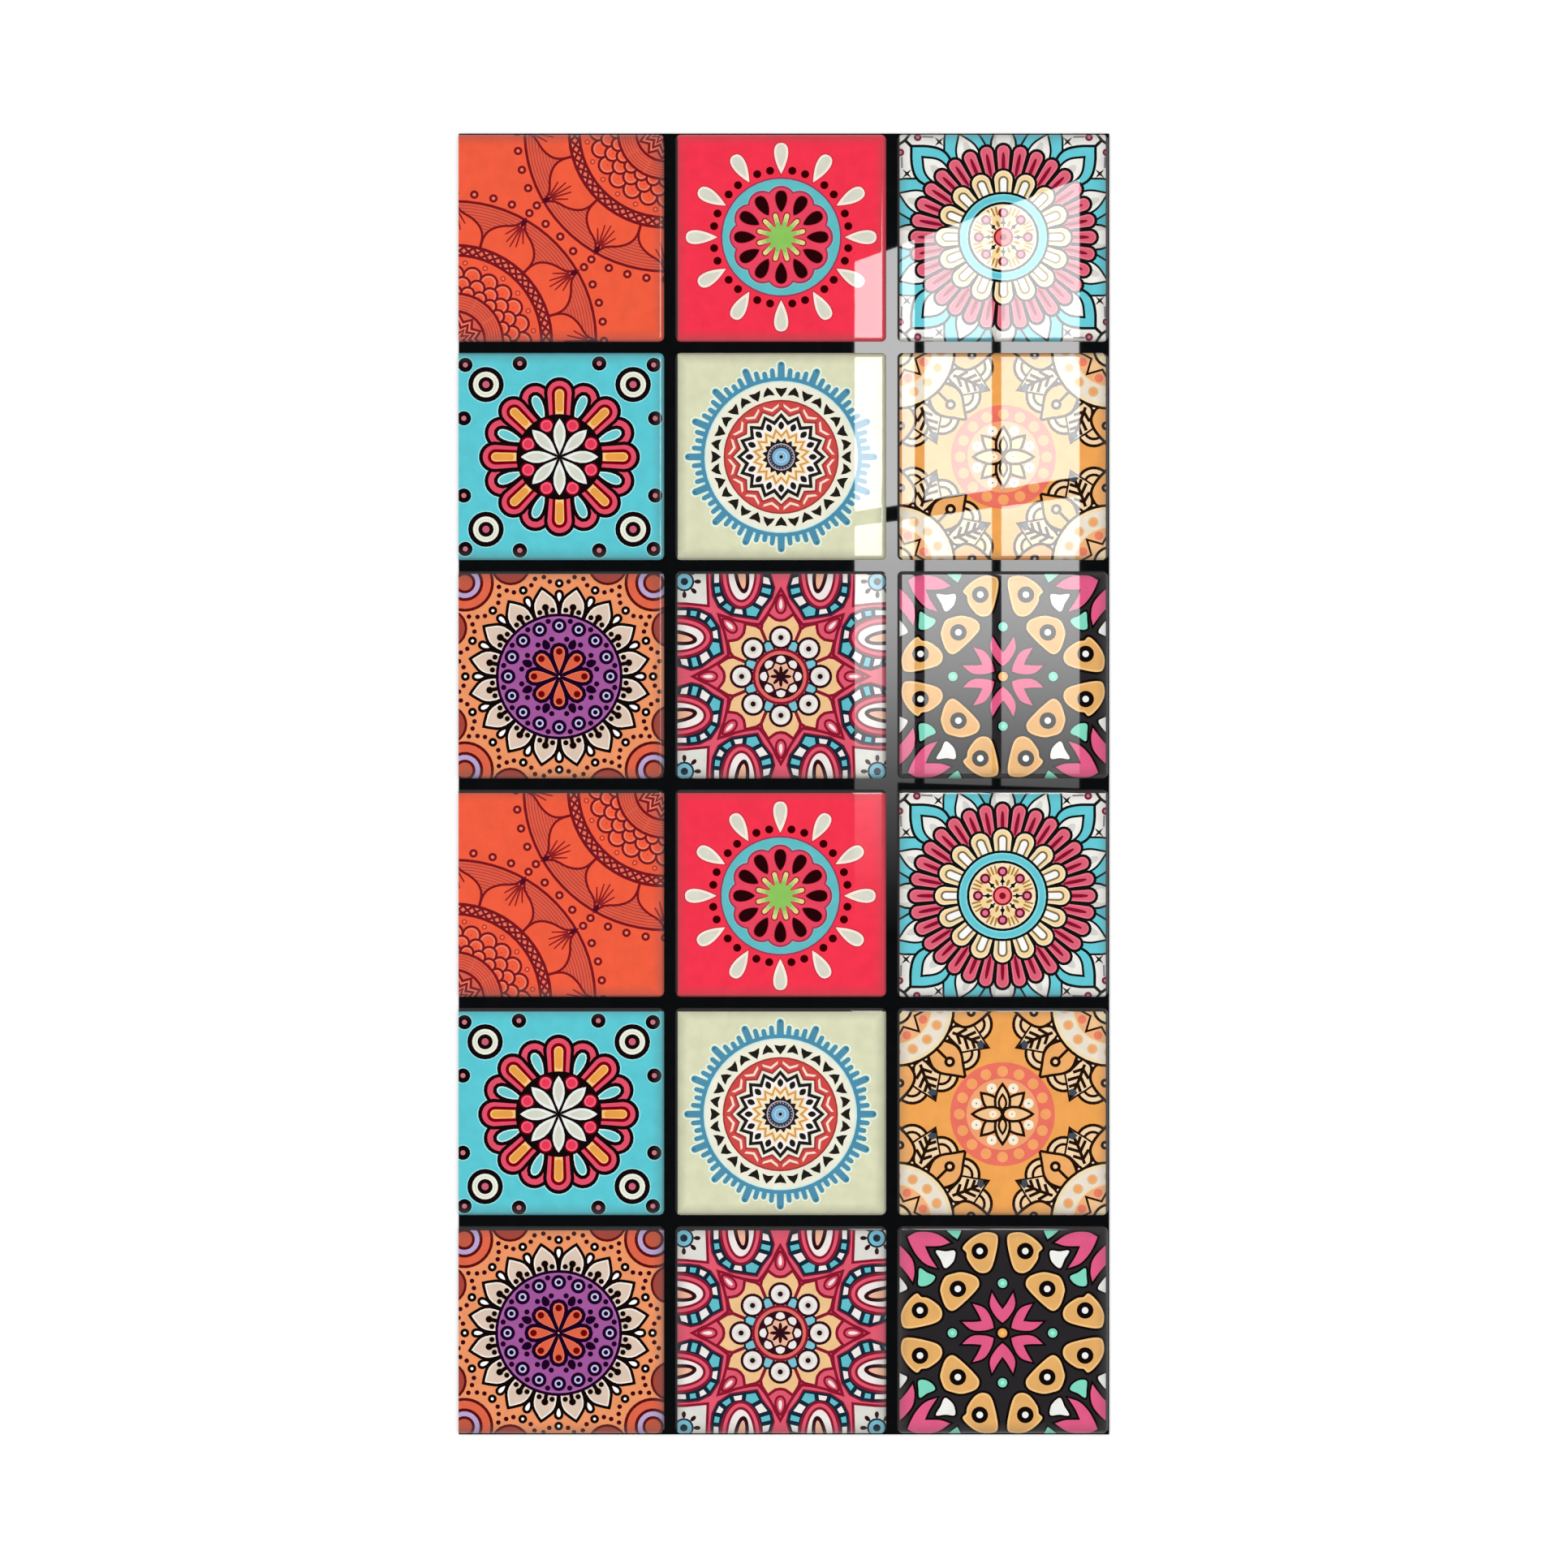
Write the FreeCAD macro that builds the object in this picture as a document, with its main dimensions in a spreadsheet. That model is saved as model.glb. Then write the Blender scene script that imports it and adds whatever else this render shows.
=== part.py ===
import FreeCAD, Part
import math
import os

import Sketcher
from FreeCAD import Vector

# A peel and stick backsplash sheet: one moulded plastic sheet, three squares wide and six
# squares long. Each square stands proud of the sunken joints, and its rim rolls down to them.
# The sheet lies on its back at Z = 0. X runs across it, Y along it, and Z is up out of its face.
# The origin is at the middle of the back.

# Driving sizes in millimetres and degrees: alias, value, what it sets
drivingSizes = [
    ("columns", 3, "squares across the sheet"),
    ("rows", 6, "squares along the sheet"),
    ("square_width", 48.6, "one square at its foot, across the sheet"),
    ("square_length", 47.75, "one square at its foot, along the sheet"),
    ("square_corner_radius", 1.15, "corner of a square at its foot, seen from above"),
    ("square_rise", 0.8, "top of a square above the floor of the joints"),
    ("side_draft", 35, "lean of a square's side from upright"),
    ("rim_radius", 1.0, "roll between a square's side and its flat top"),
    ("joint_width", 2.6, "floor of the joint between two squares"),
    ("edge_margin", 0.25, "bare sheet outside the outer squares"),
    ("left_trim", 1.5, "strip cut off the left edge, through the first column"),
    ("base_thickness", 1.2, "sheet under the joints, adhesive back included"),
]

# Sizes worked out from the driving ones: alias, formula, what it is
workedOutSizes = [
    ("pitch_across", "square_width + joint_width", "from one column to the next"),
    ("pitch_along", "square_length + joint_width", "from one row to the next"),
    ("untrimmed_width", "columns * pitch_across - joint_width + 2 * edge_margin", "before the trim"),
    ("sheet_width", "untrimmed_width - left_trim", "finished width"),
    ("sheet_length", "rows * pitch_along - joint_width + 2 * edge_margin", "finished length"),
    ("side_slant", "square_rise / cos(side_draft)", "drafted side from foot to top"),
    ("top_corner", "square_corner_radius - square_rise * tan(side_draft)", "corner radius at the top"),
    ("rim_room", "0.95 * min(side_slant; top_corner) / tan(45 - side_draft / 2)", "largest roll that fits"),
    ("rim_roll", "min(rim_radius; rim_room)", "the roll, limited by its side"),
]

nodeName = "tile_sheet"
lengthTolerance = 1e-4
sketchOrigin = (-1, 1)


def writeSizeRow(sheet, rowNumber, alias, content, meaning):
    sheet.set(f"A{rowNumber}", alias)
    sheet.set(f"B{rowNumber}", content)
    sheet.set(f"C{rowNumber}", meaning)
    sheet.setAlias(f"B{rowNumber}", alias)


def makeSizeSheet(doc):
    sheet = doc.addObject("Spreadsheet::Sheet", "Sizes")
    contents = [(alias, str(value), meaning) for alias, value, meaning in drivingSizes]
    contents += [(alias, "=" + formula, meaning) for alias, formula, meaning in workedOutSizes]
    for rowNumber, (alias, content, meaning) in enumerate(contents, start=1):
        writeSizeRow(sheet, rowNumber, alias, content, meaning)
    doc.recompute()
    return sheet


def originFeature(body, role):
    return next(feature for feature in body.Origin.OriginFeatures if feature.Role == role)


def newSketch(body, name, heightExpression="0"):
    # A sketch on the body's own XY plane, lifted to a height that follows the size sheet
    sketch = body.newObject("Sketcher::SketchObject", name)
    sketch.AttachmentSupport = [(originFeature(body, "XY_Plane"), "")]
    sketch.MapMode = "FlatFace"
    sketch.setExpression("AttachmentOffset.Base.z", heightExpression)
    return sketch


def driveSketch(sketch, sheet, driven):
    # Each entry is a kind of dimension, what it measures, and the formula that drives it
    for kind, places, formula in driven:
        index = sketch.addConstraint(Sketcher.Constraint(kind, *places, valueOf(sheet, formula)))
        sketch.setExpression(f"Constraints[{index}]", formula)


def valueOf(sheet, formula):
    return float(sheet.evalExpression(formula))


def drawRectangle(sketch, sheet, left, bottom, width, length):
    # Four lines, counter-clockwise from the bottom one, joined and kept square
    x, y = valueOf(sheet, left), valueOf(sheet, bottom)
    across, along = valueOf(sheet, width), valueOf(sheet, length)
    corners = [Vector(x, y), Vector(x + across, y), Vector(x + across, y + along), Vector(x, y + along)]
    sides = [
        sketch.addGeometry(Part.LineSegment(corners[k], corners[(k + 1) % 4]), False)
        for k in range(4)
    ]
    for k in range(4):
        direction = "Horizontal" if k % 2 == 0 else "Vertical"
        sketch.addConstraint(Sketcher.Constraint("Coincident", sides[k], 2, sides[(k + 1) % 4], 1))
        sketch.addConstraint(Sketcher.Constraint(direction, sides[k]))
    driveSketch(sketch, sheet, [
        ("DistanceX", (*sketchOrigin, sides[0], 1), left),
        ("DistanceY", (*sketchOrigin, sides[0], 1), bottom),
        ("DistanceX", (sides[0], 1, sides[0], 2), width),
        ("DistanceY", (sides[1], 1, sides[1], 2), length),
    ])


def drawRoundedRectangle(sketch, sheet, left, bottom, width, length, radius):
    # Four straight sides joined by four tangent quarter circles, all of one radius
    x0, y0, r = valueOf(sheet, left), valueOf(sheet, bottom), valueOf(sheet, radius)
    x1, y1 = x0 + valueOf(sheet, width), y0 + valueOf(sheet, length)
    sideEnds = [
        ((x0 + r, y0), (x1 - r, y0)),
        ((x1, y0 + r), (x1, y1 - r)),
        ((x1 - r, y1), (x0 + r, y1)),
        ((x0, y1 - r), (x0, y0 + r)),
    ]
    sides = [
        sketch.addGeometry(Part.LineSegment(Vector(*start), Vector(*end)), False)
        for start, end in sideEnds
    ]
    arcs = []
    arcCentres = [(x1 - r, y0 + r), (x1 - r, y1 - r), (x0 + r, y1 - r), (x0 + r, y0 + r)]
    for k, centre in enumerate(arcCentres):
        circle = Part.Circle(Vector(*centre), Vector(0, 0, 1), r)
        start = (k - 1) * math.pi / 2
        arcs.append(sketch.addGeometry(Part.ArcOfCircle(circle, start, start + math.pi / 2), False))
    for k in range(4):
        direction = "Horizontal" if k % 2 == 0 else "Vertical"
        sketch.addConstraint(Sketcher.Constraint(direction, sides[k]))
        sketch.addConstraint(Sketcher.Constraint("Tangent", sides[k], 2, arcs[k], 1))
        sketch.addConstraint(Sketcher.Constraint("Tangent", arcs[k], 2, sides[(k + 1) % 4], 1))
    for arc in arcs[1:]:
        sketch.addConstraint(Sketcher.Constraint("Equal", arcs[0], arc))
    driveSketch(sketch, sheet, [
        ("Radius", (arcs[0],), radius),
        ("DistanceX", (*sketchOrigin, sides[3], 1), left),
        ("DistanceY", (*sketchOrigin, sides[0], 1), bottom),
        ("DistanceX", (sides[3], 1, sides[1], 1), width),
        ("DistanceY", (sides[0], 1, sides[2], 1), length),
    ])


def addBase(doc, body, sheet):
    # The whole sheet up to the floor of the joints, still with the strip that is trimmed later
    sketch = newSketch(body, "SheetOutline")
    drawRectangle(
        sketch, sheet,
        left="Sizes.sheet_width / 2 - Sizes.untrimmed_width",
        bottom="-Sizes.sheet_length / 2",
        width="Sizes.untrimmed_width",
        length="Sizes.sheet_length",
    )
    base = body.newObject("PartDesign::Pad", "Base")
    base.Profile = sketch
    base.setExpression("Length", "Sizes.base_thickness")
    doc.recompute()
    return base


def addFirstSquare(doc, body, sheet):
    # The square nearest the lower left corner: round corners, sides that lean in from the foot
    sketch = newSketch(body, "FirstSquareFoot", "Sizes.base_thickness")
    drawRoundedRectangle(
        sketch, sheet,
        left="Sizes.sheet_width / 2 - Sizes.untrimmed_width + Sizes.edge_margin",
        bottom="-Sizes.sheet_length / 2 + Sizes.edge_margin",
        width="Sizes.square_width",
        length="Sizes.square_length",
        radius="Sizes.square_corner_radius",
    )
    square = body.newObject("PartDesign::Pad", "FirstSquare")
    square.Profile = sketch
    square.setExpression("Length", "Sizes.square_rise")
    square.setExpression("TaperAngle", "-Sizes.side_draft")
    doc.recompute()
    return square


def addSquareGrid(doc, body, square):
    # The first square repeated across the columns and then along the rows
    directions = [
        ("Across", "X_Axis", "Sizes.columns", "Sizes.pitch_across"),
        ("Along", "Y_Axis", "Sizes.rows", "Sizes.pitch_along"),
    ]
    grid = body.newObject("PartDesign::MultiTransform", "SquareGrid")
    grid.Originals = [square]
    steps = []
    for name, axisRole, count, pitch in directions:
        step = body.newObject("PartDesign::LinearPattern", name)
        step.Direction = (originFeature(body, axisRole), [""])
        step.setExpression("Occurrences", count)
        step.setExpression("Length", f"({count} - 1) * {pitch}")
        steps.append(step)
    grid.Transformations = steps
    body.Tip = grid
    doc.recompute()
    return grid


def edgesAtHeight(shape, height):
    # Names of the edges that lie in the level plane at this height
    names = []
    for number, edge in enumerate(shape.Edges, start=1):
        if all(abs(vertex.Point.z - height) < lengthTolerance for vertex in edge.Vertexes):
            names.append(f"Edge{number}")
    return names


def addRolledRims(doc, body, sheet, grid):
    # The rim of every square rolls from its flat top into its leaning side
    topHeight = valueOf(sheet, "Sizes.base_thickness + Sizes.square_rise")
    rims = body.newObject("PartDesign::Fillet", "RolledRims")
    rims.Base = (grid, edgesAtHeight(grid.Shape, topHeight))
    rims.setExpression("Radius", "Sizes.rim_roll")
    body.Tip = rims
    doc.recompute()
    return rims


def addLeftTrim(doc, body, sheet):
    # The straight cut that takes the strip off the left edge, down through the first column
    sketch = newSketch(body, "TrimmedStrip")
    drawRectangle(
        sketch, sheet,
        left="Sizes.sheet_width / 2 - Sizes.untrimmed_width",
        bottom="-Sizes.sheet_length / 2",
        width="Sizes.left_trim",
        length="Sizes.sheet_length",
    )
    trim = body.newObject("PartDesign::Pocket", "LeftTrim")
    trim.Profile = sketch
    trim.Type = "ThroughAll"
    trim.Reversed = True
    body.Tip = trim
    doc.recompute()
    return trim


def checkDocument(doc, body):
    for item in doc.Objects:
        if any(state in ("Invalid", "Error") for state in item.State):
            raise RuntimeError(f"{item.Label} failed: {item.State}")
    if body.Shape.isNull() or not body.Shape.isValid():
        raise RuntimeError(f"{body.Label} has no valid shape")
    if len(body.Shape.Solids) != 1:
        raise RuntimeError(f"{body.Label} has {len(body.Shape.Solids)} solids")


def checkVolumes(base, grid, rims, trim):
    # The squares add to the sheet, and rolling the rims and trimming the edge take away
    volumes = [step.Shape.Volume for step in (base, grid, rims, trim)]
    if not (volumes[0] < volumes[1] > volumes[2] > volumes[3]):
        raise RuntimeError(f"a feature had no effect: {volumes}")


def main():
    doc = FreeCAD.newDocument("BacksplashSheet")
    sheet = makeSizeSheet(doc)
    body = doc.addObject("PartDesign::Body", "TileSheet")
    body.Label = nodeName
    base = addBase(doc, body, sheet)
    square = addFirstSquare(doc, body, sheet)
    grid = addSquareGrid(doc, body, square)
    rims = addRolledRims(doc, body, sheet, grid)
    trim = addLeftTrim(doc, body, sheet)
    body.Placement = FreeCAD.Placement(Vector(0, 0, 0), FreeCAD.Rotation())
    doc.recompute()
    checkDocument(doc, body)
    checkVolumes(base, grid, rims, trim)
    os.makedirs("parts", exist_ok=True)
    body.Shape.exportStep(f"parts/{body.Label}.step")
    box = body.Shape.optimalBoundingBox()
    print(f"{body.Label}: {box.XLength:.2f} x {box.YLength:.2f} x {box.ZLength:.2f} mm")
    print(f"{len(body.Shape.Faces)} faces, {body.Shape.Volume / 1000:.1f} cubic centimetres")


main()
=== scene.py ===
import bpy
import numpy as np
from mathutils.geometry import delaunay_2d_cdt
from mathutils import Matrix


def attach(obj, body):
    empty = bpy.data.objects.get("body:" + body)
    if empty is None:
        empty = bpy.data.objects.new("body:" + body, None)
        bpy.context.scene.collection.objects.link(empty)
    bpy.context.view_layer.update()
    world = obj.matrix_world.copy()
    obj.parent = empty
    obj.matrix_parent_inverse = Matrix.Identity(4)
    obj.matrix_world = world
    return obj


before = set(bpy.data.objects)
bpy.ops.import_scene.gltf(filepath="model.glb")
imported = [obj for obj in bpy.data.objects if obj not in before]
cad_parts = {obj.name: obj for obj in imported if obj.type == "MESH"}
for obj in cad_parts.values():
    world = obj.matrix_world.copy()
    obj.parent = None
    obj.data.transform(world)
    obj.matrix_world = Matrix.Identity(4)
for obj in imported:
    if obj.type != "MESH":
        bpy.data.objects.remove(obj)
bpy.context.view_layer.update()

millimetre = 0.001

# the sheet's own sizes, in mm, as its solid has them
sheetSizes = {
    "columnCentres": (-51.95, -0.75, 50.45),
    "pitchAcross": 51.2,
    "pitchAlong": 50.35,
    "rows": 6,
    "squareWidth": 48.6,
    "squareLength": 47.75,
    "cornerRadius": 1.15,
    "jointFloor": 1.2,
    "rimRadius": 1.0,
    "rimCentreInset": 1.0808,   # from the foot of a square to the middle of its rolled rim
    "sideInset": 0.2616,        # where the straight side runs into the rolled rim
    "cutEdge": -75.0,           # the straight cut through the first column
    "sheetTop": 2.0,
}

inkLook = {
    "unit": 24.1,       # mm in one unit of the ink drawings: nearly half a square
    "roundness": 60,    # points round a circle of one unit, fewer round a smaller one
    "fewest": 8,        # points round the smallest circle
    "fewestHalf": 7,    # points round the smallest half circle
    "merge": 1e-6,      # units within which two points are one
    "dark": 0.08,       # luminance below which ink creeps
    "pale": 0.15,       # luminance above which it gives way to the dark ink beside it
    "thinShare": 0.3,   # the most of its own width by which a pale shape gives way
    "sharpest": 0.35,   # how far a sharp tip may run out when an outline grows: less is further
}


# ink shapes: outlines as arrays of points, one unit being half a square, angles clockwise from the top
def steps(radius):
    # how many points a round outline of this radius needs to look round
    return max(inkLook["fewest"], int(round(inkLook["roundness"] * abs(radius) ** 0.5)))


def onCircle(radius, angle):
    # across by the radius times the angle's sine, and up by the radius times its cosine
    return np.column_stack([radius * np.sin(angle), radius * np.cos(angle)])


def disc(radius, x=0.0, y=0.0):
    # a circle: evenly spaced angles about (x, y)
    return onCircle(radius, np.linspace(0, 2 * np.pi, steps(radius), endpoint=False)) + (x, y)


def polar(*pairs):
    # points given as (degrees, radius) pairs
    degrees, radius = np.array(pairs, dtype=float).T
    return onCircle(radius, np.radians(degrees))


def points(*pairs):
    return np.array(pairs, dtype=float)


def turned(shape, degrees):
    # turned clockwise about the middle
    angle = np.radians(degrees)
    return shape @ np.array([[np.cos(angle), -np.sin(angle)], [np.sin(angle), np.cos(angle)]])


def moved(shape, x, y):
    return shape + np.array([x, y])


def around(shape, copies, start=0.0):
    # equal turns about the middle
    return [turned(shape, start + 360 * copy / copies) for copy in range(copies)]


def mirrored(shape):
    return [shape * np.array(signs) for signs in ((1, 1), (-1, 1), (1, -1), (-1, -1))]


def eightfold(shape):
    # four mirrored copies, and the four that are swapped across the diagonal
    return mirrored(shape) + mirrored(shape[:, ::-1])


def fourPlaces(*places):
    # each place and its images across both axes
    return [(signX * x, signY * y) for x, y in places for signX in (1, -1) for signY in (1, -1)]


def petal(start, end, halfWidth, startShape=0.5, endShape=0.5, count=9):
    # along the upward axis the half width is along^startShape x (1 - along)^endShape, scaled to halfWidth:
    # 0.5 makes a round end, 1 a pointed one
    along = (1 - np.cos(np.linspace(0, np.pi, count))) / 2
    across = along ** startShape * (1 - along) ** endShape
    widest = startShape / (startShape + endShape)
    across *= halfWidth / (widest ** startShape * (1 - widest) ** endShape)
    rise = start + (end - start) * along
    return np.vstack([np.column_stack([across, rise]), np.column_stack([-across, rise])[::-1]])


def halfRound(radius):
    # from its right end over the top to its left end
    count = max(inkLook["fewestHalf"], steps(radius) // 2 + 1)
    return onCircle(radius, np.radians(np.linspace(90, -90, count)))


def lobe(start, end, halfWidth, foot=None):
    # a tongue: straight sides from its foot and a half round end
    foot = halfWidth if foot is None else foot
    return np.vstack([[(foot, start)], moved(halfRound(halfWidth), 0, end - halfWidth), [(-foot, start)]])


def pill(start, end, halfWidth):
    # both ends half round
    cap = halfRound(halfWidth)
    return np.vstack([moved(cap, 0, end - halfWidth), moved(-cap, 0, start + halfWidth)])


def star(peak, valley, copies, start=0.0):
    # straight zigzag round the middle: peaks on the start angle, valleys halfway between
    turn = np.arange(2 * copies)
    return onCircle(np.where(turn % 2 == 0, peak, valley), np.radians(start + turn * 180 / copies))


def scallop(peak, valley, copies, start=0.0, count=8):
    # round lobes: each is part of a circle about a middle that lies out along the lobe's own axis
    pitch = 360 / copies
    middle = (peak ** 2 - valley ** 2) / 2 / (peak - valley * np.cos(np.radians(pitch / 2)))
    offset = np.radians(np.linspace(-pitch / 2, pitch / 2, count, endpoint=False))
    radius = middle * np.cos(offset) + np.sqrt((peak - middle) ** 2 - (middle * np.sin(offset)) ** 2)
    return np.vstack(around(onCircle(radius, offset), copies, start))


def arc(radius, fromDegrees, toDegrees):
    # an open round line about the middle
    count = max(3, int(round(steps(radius) * abs(toDegrees - fromDegrees) / 360)) + 1)
    return onCircle(radius, np.radians(np.linspace(fromDegrees, toDegrees, count)))


def curve(*pairs, closed=False, count=4):
    # a smooth line through the points: Catmull-Rom, each span a cubic of its four nearest points
    knots = points(*pairs)
    before = np.roll(knots, 1, axis=0) if closed else np.vstack([2 * knots[0] - knots[1], knots[:-1]])
    after = np.roll(knots, -1, axis=0) if closed else np.vstack([knots[1:], 2 * knots[-1] - knots[-2]])
    later = np.roll(knots, -2, axis=0) if closed else np.vstack([after[1:], 2 * after[-1] - after[-2]])
    spans = len(knots) if closed else len(knots) - 1
    t = np.linspace(0, 1, count, endpoint=False)[None, :, None]
    a, b, c, d = (group[:spans, None, :] for group in (before, knots, after, later))
    line = b + t * (c - a) / 2 + t ** 2 * (a - 2.5 * b + 2 * c - d / 2)
    line = (line + t ** 3 * (1.5 * (b - c) + (d - a) / 2)).reshape(-1, 2)
    return line if closed else np.vstack([line, knots[-1:]])


def stroke(line, halfWidth, tip=1.0):
    # a drawn line: its points pushed to both sides along the normals, narrowed to tip x halfWidth
    tangent = np.gradient(line, axis=0)
    normal = tangent[:, ::-1] * (1, -1) / np.linalg.norm(tangent, axis=1)[:, None]
    width = halfWidth * np.linspace(1, tip, len(line))[:, None]
    return np.vstack([line + normal * width, (line - normal * width)[::-1]])


def crossSum(shape):
    # twice the area that the outline holds, below zero where it runs clockwise
    after = np.roll(shape, -1, axis=0)
    return np.sum(shape[:, 0] * after[:, 1] - after[:, 0] * shape[:, 1])


def grown(shape, amount):
    # the outline pushed out: each corner along the mean of its two edges' normals, sharp tips kept short
    edge = np.roll(shape, -1, axis=0) - shape
    length = np.linalg.norm(edge, axis=1)
    distinct = length > inkLook["merge"]
    edge, shape = edge[distinct], shape[distinct]
    normal = edge[:, ::-1] * (1, -1) / length[distinct][:, None]
    before = np.roll(normal, 1, axis=0)
    turning = 1 + np.sum(normal * before, axis=1)[:, None]
    side = 1 if crossSum(shape) > 0 else -1
    return shape + (normal + before) / np.maximum(turning, inkLook["sharpest"]) * amount * side


def symmetric(side):
    # an outline from its right-hand side, mirrored to the left
    return np.vstack([side, (side * (-1, 1))[::-1]])


# rows of (ink, shapes): the later ones are painted over the earlier ones
def outlined(shapes, ink, line, lineWidth):
    # the shapes grown in the line's ink, and then the shapes themselves
    return [(line, [grown(shape, lineWidth) for shape in shapes]), (ink, shapes)]


def discs(*layers):
    # discs on one another in the middle, each an ink and a radius
    return [(ink, [disc(radius)]) for ink, radius in layers]


def ring(copies, start, shape, *layers):
    # one kind of shape round the middle, layer on layer: each layer is an ink and the shape's own values
    return [(ink, around(shape(*values), copies, start)) for ink, *values in layers]


def dots(radii, inks, places):
    # round spots inside one another at each place
    return [(ink, [disc(radius, x, y) for x, y in places]) for radius, ink in zip(radii, inks)]


def spots(radius, copies, start=0.0):
    # the places of evenly spaced spots on a circle
    return [tuple(place) for place in polar(*[(start + 360 * i / copies, radius) for i in range(copies)])]


def linearColour(sixDigits):
    # sRGB hex to linear light
    value = np.array([int(sixDigits[i:i + 2], 16) for i in (1, 3, 5)]) / 255
    linear = np.where(value <= 0.04045, value / 12.92, ((value + 0.055) / 1.055) ** 2.4)
    return tuple(float(channel) for channel in linear) + (1.0,)


def inkCreep(colour, shape, amount):
    # dark ink creeps outwards on the vinyl and closes in on pale shapes, on thin ones by less
    luminance = np.dot(linearColour(colour)[:3], (0.2126, 0.7152, 0.0722))
    if luminance < inkLook["dark"]:
        return grown(shape, amount)
    if luminance > inkLook["pale"]:
        outline = np.linalg.norm(np.roll(shape, -1, axis=0) - shape, axis=1).sum()
        meanWidth = abs(crossSum(shape)) / outline
        return grown(shape, -min(amount, inkLook["thinShare"] * meanWidth))
    return shape


def printedRows(rows, inks, creep):
    # a drawing as it prints: its inks' colours for their names, and its shapes crept by this many mm
    amount = creep / inkLook["unit"]
    return [(inks[ink], [inkCreep(inks[ink], shape, amount) for shape in shapes]) for ink, shapes in rows]


# the nine drawings
laceInks = {
    "ground": "#F25E40", "shade": "#DD5D48", "line": "#7A1820", "fine": "#BC3C30", "faint": "#D4482E",
    "dark": "#4E0F26", "pink": "#F2927A", "rim": "#F08268", "dusk": "#D8604E", "fan": "#8E2226",
}


def laceQuarter(sharedDots):
    # a quarter of a large round ornament, drawn about its own middle
    side = curve(*polar((0, 1.325), (1.8, 1.25), (4.5, 1.21), (7.5, 1.18), (11, 1.13), (13.4, 1.07),
                        (14.4, 1.0), (14.4, 0.90)))
    petals = [turned(symmetric(side), tipAngle) for tipAngle in range(-30, 121, 30)]
    dotAngles = [7.5 * step for step in range(-1, 14) if sharedDots or step not in (5, 6, 7)]
    rows = dots((0.037, 0.021), ("line", "rim"), polar(*[(angle, 1.41) for angle in dotAngles]))
    rows += discs(("line", 1.344), ("shade", 1.326))
    rows.append(("fine", [stroke(arc(1.30 - 0.028 * step, -14, 104), 0.004) for step in range(9)]))
    rows += outlined(petals, "ground", "line", 0.014)
    fan = [stroke(moved(turned(points((0, -0.04), (0, -reach)), angle), 0, 1.29), 0.006, 0.4)
           for angle, reach in ((0, 0.25), (13, 0.23), (-13, 0.23), (30, 0.19), (-30, 0.19))]
    tip = points((-0.022, 1.330), (0.022, 1.330), (0.016, 1.29), (0, 1.245), (-0.016, 1.29))
    for tipAngle in range(0, 91, 30):
        rows.append(("fan", [turned(line, tipAngle) for line in fan]))
        rows.append(("dark", [turned(tip, tipAngle)]))
    # lattice band
    step = 5.625
    rows += discs(("line", 0.925), ("dusk", 0.904))
    cells = range(-3, 20)
    outer = polar((-0.4 * step, 0.898), (0.4 * step, 0.898), (0, 0.876))
    inner = polar((-0.4 * step, 0.832), (0.4 * step, 0.832), (0, 0.856))
    rows.append(("pink", [turned(shape, (cell + 0.5) * step)
                          for cell in cells for shape in (outer, inner)]))
    rows.append(("rim", [turned(disc(0.016, 0, 0.865), cell * step) for cell in cells]))
    for first in (0, 1):
        zigzag = polar(*[(cell * step, 0.905 if cell % 2 == first else 0.827) for cell in cells])
        rows.append(("line", [stroke(zigzag, 0.009)]))
    rows += discs(("line", 0.830), ("ground", 0.810))
    rows += dots((0.027, 0.017), ("fine", "rim"), polar(*[(7.5 + 15 * i, 0.75) for i in range(-1, 7)]))
    # scales, the outer row first
    for crown, radius, start in ((0.722, 0.085, 0), (0.618, 0.074, 7.5), (0.530, 0.064, 0)):
        places = polar(*[(start + 15 * i, crown - radius) for i in range(-1, 8)])
        radii = (radius + 0.006, radius - 0.009, radius - 0.024, 0.011)
        rows += dots(radii, ("line", "rim", "ground", "faint"), places)
    # brick band and the middle
    rows += discs(("line", 0.463), ("shade", 0.445))
    rows.append(("fine", [stroke(arc(0.315 + 0.026 * line, -5, 95), 0.0035) for line in range(5)]))
    for angle in (-2, 28, 58, 88):
        rows += [(ink, [stroke(polar((angle, 0.3), (angle, 0.445)), halfWidth)])
                 for ink, halfWidth in (("rim", 0.010), ("fine", 0.003))]
    rows += discs(("line", 0.293), ("dusk", 0.275))
    for outer, inner in ((0.268, 0.205), (0.205, 0.145), (0.145, 0.085)):
        for ink, peakStep, valleyStep in (("line", 0, 0), ("dusk", 0.018, 0.018), ("pink", 0.032, 0.030),
                                          ("dusk", 0.044, 0.038)):
            rows.append((ink, [star(outer - peakStep, inner - valleyStep, 12, 9)]))
    return rows


def laceSquare():
    rows = [("ground", [])]
    for degrees, x, y, sharedDots in ((180, 1.006, 1.008, False), (0, -0.99, -0.992, True)):
        rows += [(ink, [moved(turned(shape, degrees), x, y) for shape in shapes])
                 for ink, shapes in laceQuarter(sharedDots)]
    return rows


dropInks = {
    "ground": "#F5364E", "outline": "#C93044", "rim": "#FCEADC", "drop": "#D8D9C9", "dark": "#3A0006",
    "teal": "#60BEC4", "purple": "#A23C5E", "tealPale": "#7CCACC", "red": "#EA4660", "seed": "#260608",
    "halo": "#B01C34", "green": "#8DC65F", "cream": "#E6D68E", "brown": "#8A2420", "lime": "#B4D478",
}


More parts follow.
